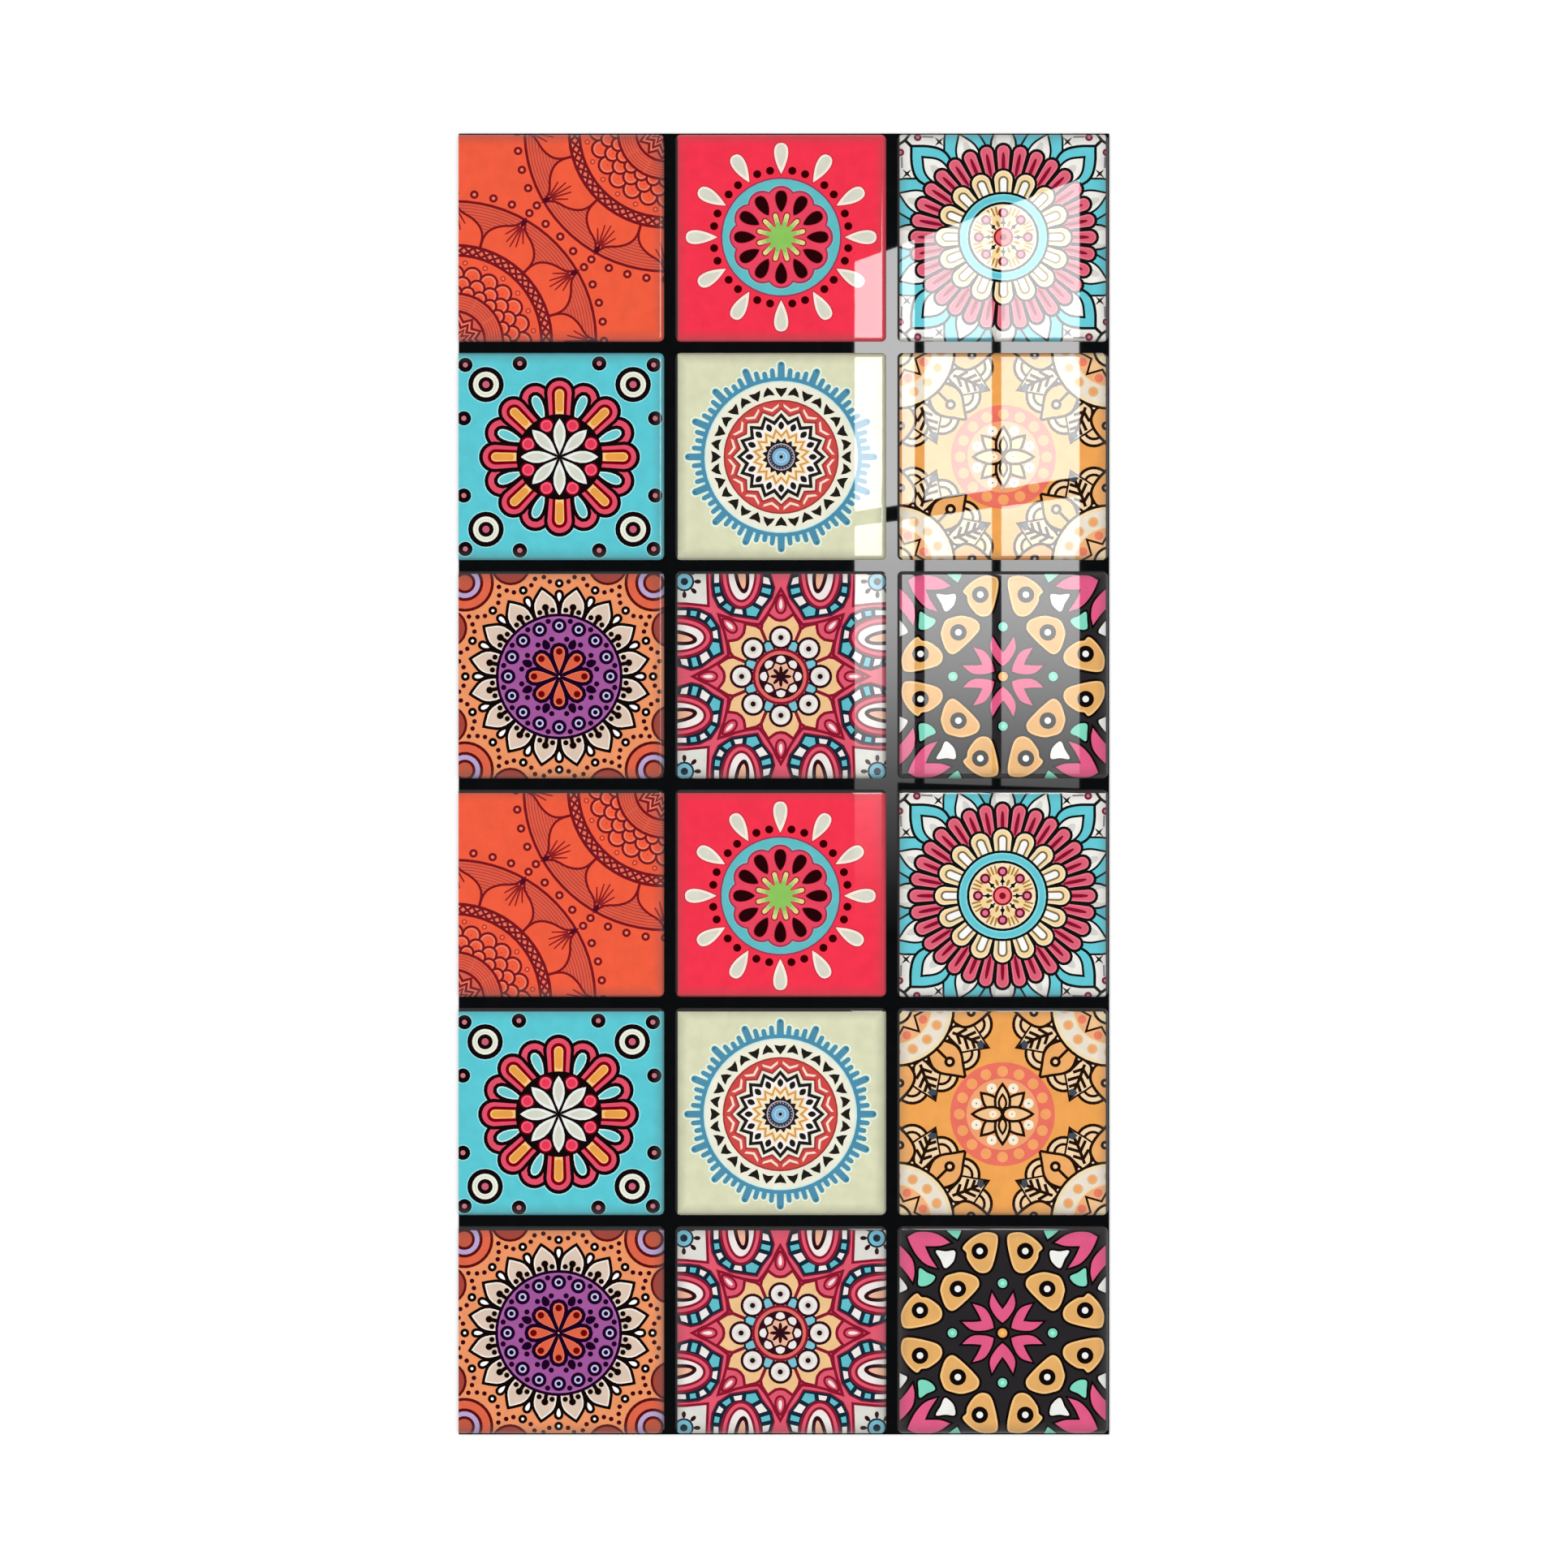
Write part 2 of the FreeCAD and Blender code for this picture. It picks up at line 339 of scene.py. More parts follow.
def dropSquare():
    # twelve drops round a flower with seeds
    drop = petal(0.600, 0.904, 0.069, 1.0, 0.42, count=12)
    fill = petal(0.655, 0.886, 0.048, 1.0, 0.42, count=10)
    rows = [("ground", [])]
    rows.append(("outline", around(grown(drop, 0.009), 12)))
    rows += [("rim", around(drop, 12)), ("drop", around(fill, 12))]
    rows += dots((0.037,), ("dark",), spots(0.643, 12, 9.4) + spots(0.643, 12, -9.4))
    rows += discs(("purple", 0.573), ("teal", 0.558))
    for ink, peak, valley in (("tealPale", 0.502, 0.458), ("purple", 0.492, 0.447), ("red", 0.474, 0.429)):
        rows.append((ink, [scallop(peak, valley, copies=12)]))
    rows += outlined(around(petal(0.245, 0.443, 0.053, 0.8, 0.42), 12), "seed", "halo", 0.007)
    rows += ring(12, 15, lobe, ("brown", 0.08, 0.245, 0.031, 0.02), ("cream", 0.08, 0.236, 0.023),
                 ("lime", 0.08, 0.190, 0.020), ("green", 0.08, 0.152, 0.021))
    return rows + discs(("green", 0.115))


loopInks = {
    "white": "#F1EFE9", "shade": "#D6D5CE", "grey": "#8E8E8C", "black": "#121412", "teal": "#66CAD6",
    "tealPale": "#8ADCE4", "tealDeep": "#5CB8C6", "crimson": "#DE6378", "crimsonPale": "#EE7A8E",
    "slit": "#8A1030", "maroon": "#7A1030", "cream": "#FBE6C0", "loop": "#F7D9A0", "loopPale": "#FCEBCB",
    "loopLine": "#7A6A50", "coral": "#F07070", "pink": "#D88098", "gold": "#A87A34", "pill": "#FBFAF6",
}


def besideAxes(shape, degrees):
    # copies at this angle on both sides of the upright and level axes
    return [turned(shape, quarter + side * degrees) for quarter in (0, 90, 180, 270) for side in (1, -1)]


def loopSquare():
    # rings of loops and long petals, with leaves that run out under the square's edges
    rows = [("white", [])]
    rows.append(("grey", eightfold(stroke(points((0.66, 0.958), (0.77, 0.962)), 0.010)) +
                 eightfold(stroke(points((0.66, 1.0), (0.90, 1.0)), 0.010))))
    rows.append(("black", mirrored(stroke(points((0.80, 0.80), (0.94, 0.935)), 0.014)) +
                 eightfold(stroke(points((0.925, 0.93), (0.885, 0.99), (0.89, 1.05)), 0.013))))
    rows += dots((0.037, 0.017), ("maroon", "pink"), fourPlaces((0.81, 0.955), (0.975, 0.81)))
    rows.append(("black", eightfold(moved(star(0.062, 0.014, 4, 45), 0.607, 0.912))))
    # leaves that the square's edge cuts off
    rows += outlined(besideAxes(petal(0.75, 1.16, 0.115, 0.4, 0.7), 11.25), "tealDeep", "black", 0.014)
    rows += outlined(besideAxes(petal(0.72, 1.24, 0.188, 0.45, 0.9), 23.5), "teal", "black", 0.018)
    rows.append(("tealPale", besideAxes(stroke(arc(0.9, 17, 30), 0.012), 0)))
    whiteLeaf = symmetric(curve((0.0, 0.74), (0.085, 0.80), (0.098, 0.86), (0.075, 0.945), (0.0, 1.06)))
    rows += outlined(besideAxes(whiteLeaf, 23.0), "white", "black", 0.018)
    rows.append(("shade", besideAxes(petal(0.80, 0.98, 0.035), 22.0)))
    rows += outlined(around(petal(0.74, 1.10, 0.112, 0.4, 0.8), 4), "shade", "black", 0.020)
    rows += ring(4, 0, petal, ("white", 0.86, 1.02, 0.07))
    # corner leaves
    outerSide = curve((0.0, 1.215), (0.105, 1.105), (0.168, 0.99), (0.155, 0.875), (0.06, 0.70))
    innerSide = curve((0.0, 1.068), (0.072, 0.975), (0.092, 0.89), (0.07, 0.80), (0.0, 0.66))
    rows += outlined(around(symmetric(outerSide), 4, 45), "teal", "black", 0.024)
    rows += outlined(around(symmetric(innerSide), 4, 45), "white", "black", 0.020)
    rows += ring(4, 45, petal, ("shade", 0.80, 0.97, 0.040))
    # ring of crimson petals, each with a dark slit
    rows += ring(32, 0, lobe, ("black", 0.5, 0.905, 0.084, 0.052),
                 ("crimsonPale", 0.5, 0.879, 0.060, 0.038),
                 ("crimson", 0.5, 0.869, 0.047, 0.030))
    rows += ring(32, 0, petal, ("slit", 0.585, 0.812, 0.017, 0.4, 0.4))
    # ring of cream loops
    rows += discs(("black", 0.52))
    rows += ring(16, 0, lobe, ("black", 0.40, 0.660, 0.110, 0.087), ("loopPale", 0.40, 0.638, 0.087, 0.070),
                 ("loop", 0.40, 0.625, 0.075, 0.058), ("loopLine", 0.40, 0.587, 0.050, 0.044),
                 ("pill", 0.40, 0.568, 0.031, 0.028))
    rows += discs(("black", 0.434), ("tealPale", 0.412), ("teal", 0.400), ("tealPale", 0.352),
                  ("black", 0.337))
    # middle
    rows += discs(("cream", 0.315), ("loop", 0.275))
    rows.append(("cream", [star(0.30, 0.10, 8)]))
    dash = stroke(points((0, 0.215), (0, 0.30)), 0.0085)
    rows.append(("gold", [turned(dash, 45 * i + 22.5 + side) for i in range(8) for side in (-8, 0, 8)]))
    rows.append(("black", around(stroke(points((0, 0.10), (0, 0.19)), 0.007), 8)))
    rows.append(("black", around(polar((-10, 0.135), (0, 0.172), (10, 0.135), (0, 0.118)), 8)))
    rows += ring(8, 22.5, petal, ("gold", 0.10, 0.17, 0.014))
    rows += dots((0.049, 0.028), ("maroon", "pink"), spots(0.232, 8))
    rows += discs(("slit", 0.094), ("coral", 0.075), ("slit", 0.032))
    return rows


lotusInks = {
    "teal": "#5CC9D4", "halo": "#9FE6EC", "black": "#140A0C", "crimson": "#E4506A", "maroon": "#7A0010",
    "orangeRim": "#FBC880", "orange": "#E9A048", "white": "#EDF0EA", "leaf": "#D6D9CA", "redRim": "#F4607A",
    "red": "#E83A58", "cream": "#EEF0E2", "beige": "#D8DCC4", "pink": "#CE6074", "pinkPale": "#CC7886",
    "dropRim": "#D4F2F0", "drop": "#6CCAD0",
}


def lotusSquare():
    # sixteen rounded petals in two rows round a disc of leaves
    rows = [("teal", [])]
    minor, major = (0.38, 0.750, 0.150), (0.36, 0.757, 0.143, 0.12)
    rows.append(("halo", around(grown(lobe(*minor), 0.020), 8, 22.5)
                 + around(grown(lobe(*major), 0.020), 8)))
    rows += ring(8, 22.5, lobe, ("black", *minor), ("crimson", 0.38, 0.724, 0.13))
    rows += ring(8, 22.5, petal, ("black", 0.31, 0.662, 0.080, 0.85, 0.45),
                 ("dropRim", 0.37, 0.636, 0.053, 0.85, 0.45), ("drop", 0.40, 0.622, 0.042, 0.85, 0.45))
    rows += ring(8, 0, lobe, ("black", *major), ("crimson", 0.36, 0.730, 0.119, 0.100),
                 ("maroon", 0.36, 0.674, 0.070, 0.060), ("orangeRim", 0.36, 0.652, 0.048, 0.042))
    rows += ring(8, 0, pill, ("orange", 0.425, 0.640, 0.037))
    rows += discs(("black", 0.405))
    rows += dots((0.067, 0.062, 0.045), ("maroon", "redRim", "red"), spots(0.321, 8, 22.5))
    rows += ring(8, 0, petal, ("black", 0.0, 0.392, 0.078, 1.3, 1.0, 11),
                 ("white", 0.020, 0.372, 0.062, 1.3, 1.0, 11), ("leaf", 0.085, 0.330, 0.042, 1.3, 1.0, 11))
    rows += dots((0.182, 0.164, 0.127, 0.104, 0.094, 0.068, 0.039),
                 ("halo", "black", "cream", "beige", "cream", "black", "pink"), fourPlaces((0.695, 0.69)))
    return rows + dots((0.082, 0.065, 0.029), ("halo", "black", "pinkPale"),
                       fourPlaces((0.89, 0.877), (0.375, 0.891), (0.904, 0.368)))


zigzagInks = {
    "olive": "#DDDEBC", "halo": "#E8F2DC", "haloCyan": "#C4EAEA", "blue": "#5090AC", "blueDark": "#3E7A90",
    "cream": "#EFEEDB", "black": "#221E1A", "red": "#D04C46", "chevron": "#FAE2D4", "redDark": "#A43A3C",
    "orange": "#DA9E50", "pale": "#FBE9C8", "lilac": "#C8BCD0", "grey": "#3C3C42", "sky": "#7FB4D8",
    "skyPale": "#A8D0E4", "white": "#FAF6F4",
}


def zigzagSquare():
    # rays round rings of zigzags
    rows = [("olive", [])]
    long = pill(0.70, 0.912, 0.036)
    short = [turned(pill(0.70, end, 0.026), 22.5 * copy + offset)
             for copy in range(16) for offset, end in ((5.9, 0.853), (11.25, 0.832), (16.6, 0.853))]
    rows.append(("halo", around(grown(long, 0.018), 16) + [grown(shape, 0.016) for shape in short]))
    rows += discs(("haloCyan", 0.795))
    rows.append(("blue", around(long, 16) + short))
    rows += dots((0.020,), ("blueDark",), spots(0.886, 16))
    rows += discs(("blue", 0.765), ("haloCyan", 0.728), ("cream", 0.716))
    inward = polar((-4.7, 0.660), (0, 0.648), (4.7, 0.660), (3.4, 0.620), (0, 0.572), (-3.4, 0.620))
    outward = polar((-5.0, 0.592), (0, 0.602), (5.0, 0.592), (3.2, 0.630), (0, 0.672), (-3.2, 0.630))
    rows.append(("black", around(inward, 16) + around(outward, 16, 11.25)))
    rows += discs(("redDark", 0.545), ("red", 0.532))
    chevron = polar((-9.2, 0.512), (0, 0.466), (9.2, 0.512), (8.6, 0.478), (0, 0.434), (-8.6, 0.478))
    rows.append(("chevron", around(chevron, 16, 11.25)))
    for ink, peak, valley in (("redDark", 0.472, 0.410), ("cream", 0.453, 0.390), ("black", 0.417, 0.345),
                              ("white", 0.379, 0.309)):
        rows.append((ink, [star(peak, valley, copies=16)]))
    rows += ring(16, 0, petal, ("black", 0.262, 0.336, 0.026, 0.85, 0.85, 7))
    for ink, peak, valley in (("pale", 0.298, 0.236), ("orange", 0.280, 0.216), ("pale", 0.246, 0.184),
                              ("black", 0.176, 0.140)):
        rows.append((ink, [star(peak, valley, copies=16, start=11.25)]))
    rows += discs(("lilac", 0.132), ("grey", 0.117))
    rows += dots((0.0075,), ("lilac",), spots(0.1085, 24))
    return rows + discs(("grey", 0.100), ("sky", 0.088), ("skyPale", 0.060), ("sky", 0.045),
                        ("skyPale", 0.030),
                        ("black", 0.016))


gardenInks = {
    "orange": "#F0A656", "coral": "#EC7462", "dot": "#F6A468", "peach": "#F1A672", "cream": "#F6D6AE",
    "brown": "#8A7A40", "black": "#241308", "edge": "#F3DEB4", "white": "#EEE2D2", "coralDot": "#EE8266",
    "tint": "#F1B480", "pod": "#EEAC68", "dotRim": "#DDC08C", "slate": "#444C58", "petal": "#F3C490",
    "petalPale": "#F4D0A6", "fan": "#F5CC9C", "bead": "#FBF0DA",
}


def stripedLeaf():
    # a broad pointed leaf with a vein, dark lines across and a slate tip
    leaf = points((-0.52, 0.755), (-0.46, 0.83), (-0.355, 0.83), (-0.272, 0.841), (-0.224, 0.772),
                  (-0.182, 0.702), (-0.137, 0.637), (-0.251, 0.619), (-0.383, 0.594), (-0.404, 0.640),
                  (-0.459, 0.696))
    rows = outlined([leaf], "cream", "black", 0.010)
    bars = (((-0.47, 0.775), (-0.33, 0.725), (-0.20, 0.665)), ((-0.43, 0.76), (-0.34, 0.812)),
            ((-0.36, 0.735), (-0.255, 0.782)), ((-0.29, 0.71), (-0.215, 0.735)),
            ((-0.43, 0.76), (-0.40, 0.67)), ((-0.36, 0.735), (-0.325, 0.62)),
            ((-0.29, 0.71), (-0.262, 0.63)))
    rows.append(("black", [stroke(points(*bar), 0.011) for bar in bars]))
    rows.append(("slate", [points((-0.137, 0.637), (-0.205, 0.705), (-0.24, 0.665), (-0.225, 0.625))]))
    rows.append(("black", [points((-0.127, 0.632), (-0.175, 0.665), (-0.18, 0.628))]))
    return rows


def gardenSquare():
    # a small flower in the middle, a quarter ornament in each corner, and leaves between
    rows = [("orange", [])]
    for x, y in ((-0.262, 0.855), (-0.378, 0.580)):
        rows += [(ink, eightfold(disc(radius, x, y)))
                 for radius, ink in ((0.168, "black"), (0.148, "cream"), (0.101, "black"), (0.083, "fan"))]
    for ink, shapes in stripedLeaf():
        rows.append((ink, [copy for shape in shapes for copy in eightfold(shape)]))
    sidePod = curve((-0.50, 1.06), (-0.46, 0.90), (-0.43, 0.868), (-0.355, 0.838), (-0.265, 0.868),
                    (-0.16, 0.955), (-0.10, 1.06), closed=True)
    rows += outlined(eightfold(sidePod), "pod", "black", 0.020)
    rows += dots((0.040, 0.018), ("black", "cream"), fourPlaces((0.296, 0.97), (0.97, 0.296)))
    # pods across the diagonals
    side = curve((0, 0.512), (0.062, 0.60), (0.112, 0.667), (0.135, 0.715), (0.142, 0.772), (0.124, 0.831),
                 (0.08, 0.90), (0, 0.92))
    rows += outlined(around(symmetric(side), 4, 45), "pod", "black", 0.018)
    rows.append(("black", around(stroke(points((0, 0.74), (0, 0.90)), 0.010), 4, 45)))
    rows += dots((0.048, 0.026), ("black", "petalPale"), spots(0.706, 4, 45))
    rows += dots((0.032, 0.017), ("black", "white"),
                 fourPlaces((0.466, 0.855), (0.855, 0.466), (0.525, 0.723), (0.723, 0.525)))
    # corner ornaments
    corner = discs(("black", 0.558), ("edge", 0.540), ("white", 0.505))
    corner += dots((0.055, 0.040), ("dotRim", "dot"), spots(0.420, 16))
    corner += discs(("edge", 0.358), ("tint", 0.340))
    corner += dots((0.046,), ("coralDot",), spots(0.280, 8, 22.5))
    corner += outlined([star(0.300, 0.185, copies=8)], "petal", "black", 0.012)
    corner += discs(("black", 0.158), ("edge", 0.140), ("black", 0.065))
    for x, y, turn in ((1.01, 1.01, 180), (-1.01, 1.01, 90), (1.01, -1.01, 270), (-1.01, -1.01, 0)):
        rows += [(ink, [moved(turned(shape, turn), x, y) for shape in shapes]) for ink, shapes in corner]
    # middle
    rows += discs(("coral", 0.500), ("peach", 0.345))
    rows += dots((0.056,), ("dot",), spots(0.408, 16))
    rows += dots((0.052, 0.012), ("bead", "brown"), spots(0.267, 8, 22.5))
    leaf = petal(0.0, 0.270, 0.062, 0.75, 1.0)
    for copies, start, tint in ((4, 45, "petal"), (2, 0, "petalPale")):
        rows += outlined(around(leaf, copies, start), tint, "black", 0.018)
    rows += outlined(around(petal(0.05, 0.175, 0.028, 0.8, 1.0), 2), "petal", "black", 0.014)
    rows += outlined(around(petal(0.012, 0.270, 0.060, 0.5, 0.9), 2, 90), "petal", "black", 0.018)
    return rows + dots((0.040, 0.014), ("bead", "dot"), spots(0.090, 2, 90))


plumInks = {
    "ground": "#EE9666", "outline": "#3A0A14", "purple": "#A2589C", "purplePale": "#AC66A8",
    "ink": "#1C0422", "lilac": "#C8C8F0", "red": "#E06444", "redPale": "#EC7C62", "redDot": "#6E0806",
    "petal": "#DEC6B4", "petalPale": "#F6EFE4", "black": "#120806", "white": "#FFFFFF",
    "half": "#A8463A", "arcRed": "#E0664A", "arcLilac": "#B8A6D2", "disc": "#C05A44", "line": "#5A1010",
}


def plumSquare():
    # a purple disc with eyes inside a ring of pale petals
    rows = [("ground", [])]
    rows += outlined(eightfold(disc(0.165, 0.463, 1.065)), "half", "line", 0.020)
    for radius, ink in ((0.274, "line"), (0.254, "arcRed"), (0.172, "line"), (0.151, "arcLilac"),
                        (0.098, "line"), (0.079, "disc")):
        rows.append((ink, mirrored(disc(radius, 0.900, 0.900))))
    chain = [(degrees + 22.5 * sector, radius) for sector in range(16)
             for degrees, radius in ((5.6, 0.916), (8.7, 0.966), (13.8, 0.966), (16.9, 0.916))]
    chain += [(45 * sector + side, 1.035) for sector in range(1, 8, 2) for side in (-11.25, 11.25)]
    rows.append(("outline", [disc(0.019, x, y) for x, y in polar(*chain)]))
    rows += dots((0.039, 0.019), ("black", "white"), spots(0.895, 16))
    # pale petals, with a white drop in each dark gap
    rows.append(("black", [disc(0.74)] + around(lobe(0.62, 0.832, 0.042, 0.03), 16)))
    pale = symmetric(polar((0, 0.852), (1.5, 0.832), (3.5, 0.803), (5.8, 0.772), (7.6, 0.74), (8.9, 0.70),
                           (9.6, 0.65), (9.8, 0.58)))
    rows += outlined(around(pale, 16, 11.25), "petalPale", "black", 0.020)
    rows.append(("petal", around(grown(pale, -0.013), 16, 11.25)))
    rows.append(("black", around(stroke(points((0, 0.59), (0, 0.68)), 0.015), 16, 11.25)))
    rows += dots((0.030,), ("black",), spots(0.676, 16, 11.25))
    rows += dots((0.022,), ("black",), spots(0.640, 16, 16.85) + spots(0.640, 16, 5.65))
    rows += ring(16, 0, petal, ("white", 0.715, 0.812, 0.024, 0.9, 0.5))
    # purple disc
    rows += discs(("ink", 0.602), ("purplePale", 0.582), ("purple", 0.566))
    rows += dots((0.067, 0.043, 0.019), ("ink", "lilac", "ink"), spots(0.487, 16))
    rows += dots((0.022,), ("ink",), spots(0.540, 16, 11.25) + spots(0.364, 16, 11.25))
    rows += ring(8, 22.5, petal, ("ink", 0.283, 0.378, 0.034, 0.5, 0.7))
    rows.append(("ink", [star(0.205, 0.10, copies=8, start=22.5)]))
    rows += outlined(around(petal(0.03, 0.294, 0.059, 1.3, 0.45), 8), "redPale", "ink", 0.028)
    rows += ring(8, 0, petal, ("red", 0.06, 0.284, 0.050, 1.1, 0.45))
    rows += dots((0.028,), ("redDot",), spots(0.240, 8))
    return rows + dots((0.034, 0.012), ("ink", "petal"), [(0, 0)])


starInks = {
    "crimson": "#E05A70", "maroon": "#8A1830", "peach": "#EEB698", "white": "#F0E8E4", "eye": "#E8E8E0",
    "shade": "#DAD9D0", "coral": "#DE6862", "blue": "#7CC4D2", "tan": "#F0C48E", "teal": "#62BECA",
    "navy": "#182838", "corner": "#DCDCD4", "dark": "#301018", "eyeBlue": "#78BCCE",
}


def eightPoints(*half):
    # eight equal points: each from its half outline of (degrees, radius), from the valley to the tip
    whole = [(-degrees, radius) for degrees, radius in half]
    whole += [(degrees, radius) for degrees, radius in half[-2:0:-1]]
    return polar(*[(45 * copy + degrees, radius) for copy in range(8) for degrees, radius in whole])


def starSquare():
    # an eight-pointed star between panels of small blocks
    rows = [("crimson", [])]
    outer = ((0.655, 1.05), (0.655, 0.877), (0.642, 0.775), (0.590, 0.670), (0.475, 0.593), (0.340, 0.572),
             (0.175, 0.650), (0.090, 0.760), (0.068, 0.853), (0.10, 0.96), (0.13, 1.06))
    inner = ((0.57, 1.05), (0.57, 0.885), (0.555, 0.795), (0.515, 0.728), (0.445, 0.673), (0.352, 0.660),
             (0.270, 0.702), (0.210, 0.797), (0.190, 0.880), (0.185, 0.985), (0.19, 1.06))
    tip, tipBlock = (0.226, 0.555), 5
    panel = points(*outer[:tipBlock + 1], tip, *outer[tipBlock + 1:])
    rows += outlined(eightfold(panel), "navy", "maroon", 0.012)
    blocks = []
    for block in range(len(outer) - 1):
        between = [tip] if block == tipBlock else []
        blocks.append(points(outer[block], *between, outer[block + 1], inner[block + 1], inner[block]))
    for first, ink in enumerate(("white", "teal")):
        rows.append((ink, [shape for block in blocks[first::2]
                           for shape in eightfold(grown(block, -0.016))]))
    for ink, halfAcross, halfAlong, tilt in (("maroon", 0.200, 0.345, 0), ("crimson", 0.183, 0.328, 0),
                                             ("maroon", 0.143, 0.285, 0), ("white", 0.127, 0.267, 0),
                                             ("dark", 0.068, 0.200, 8), ("peach", 0.040, 0.165, 8)):
        oval = turned(disc(1.0) * (halfAcross, halfAlong), tilt)
        rows.append((ink, eightfold(moved(oval, 0.376, 1.0))))
    # corner squares with an eye
    square = points((1.1, 1.1), (1.1, 0.715), (0.90, 0.708), (0.70, 0.688), (0.708, 0.90), (0.715, 1.1))
    rows += outlined(mirrored(square), "corner", "maroon", 0.018)
    ray, eye = petal(0.095, 0.155, 0.016, 0.7, 0.5), (0.92, 0.912)
    rows.append(("dark", [shape for degrees in range(135, 316, 45)
                          for shape in mirrored(moved(turned(ray, degrees), *eye))]))
    for radius, ink in ((0.090, "navy"), (0.080, "eyeBlue"), (0.032, "navy")):
        rows.append((ink, mirrored(disc(radius, *eye))))
    # the star, its tan crown and the white drops
    pointed = eightPoints((22.5, 0.53), (15, 0.575), (10, 0.625), (5.5, 0.69), (3, 0.75), (0, 0.82))
    crown = eightPoints((22.5, 0.47), (18.5, 0.53), (11.3, 0.597), (8.4, 0.564), (5.0, 0.537), (0, 0.527))
    rows += outlined([pointed], "crimson", "maroon", 0.019) + outlined([crown], "tan", "maroon", 0.020)
    rows.append(("maroon", around(stroke(polar((0, 0.36), (0, 0.50)), 0.012), 8, 22.5)))
    rows += outlined(around(petal(0.615, 0.775, 0.040, 0.5, 0.75), 8), "crimson", "maroon", 0.014)
    rows += ring(8, 0, petal, ("white", 0.642, 0.752, 0.021, 0.5, 0.8))
    # ring of eyes
    wedge = polar((-8.5, 0.27), (-6.5, 0.345), (0, 0.360), (6.5, 0.345), (8.5, 0.27))
    rows += outlined(around(wedge, 8, 22.5), "blue", "navy", 0.012)
    rows += ring(8, 0, disc, ("dark", 0.111, 0, 0.374), ("white", 0.093, 0, 0.374),
                 ("eye", 0.062, 0, 0.374),
                 ("shade", 0.052, 0, 0.374), ("dark", 0.022, 0, 0.374))
    # middle
    rows += discs(("maroon", 0.266), ("coral", 0.250), ("dark", 0.210))
    rows += ring(8, 0, disc, ("white", 0.048, 0, 0.156))
    rows += outlined([star(0.142, 0.112, copies=8, start=22.5)], "peach", "dark", 0.012)
    return rows + ring(8, 0, petal, ("dark", 0.0, 0.096, 0.013, 0.6, 0.5))


nightInks = {
    "charcoal": "#29272A", "black": "#120C0A", "orange": "#F8B060", "pink": "#E25C88", "mint": "#80DAC0",
    "mintPale": "#A4F0DA", "tan": "#E4AE68", "tanPale": "#F6C684", "white": "#F2F2EE",
}


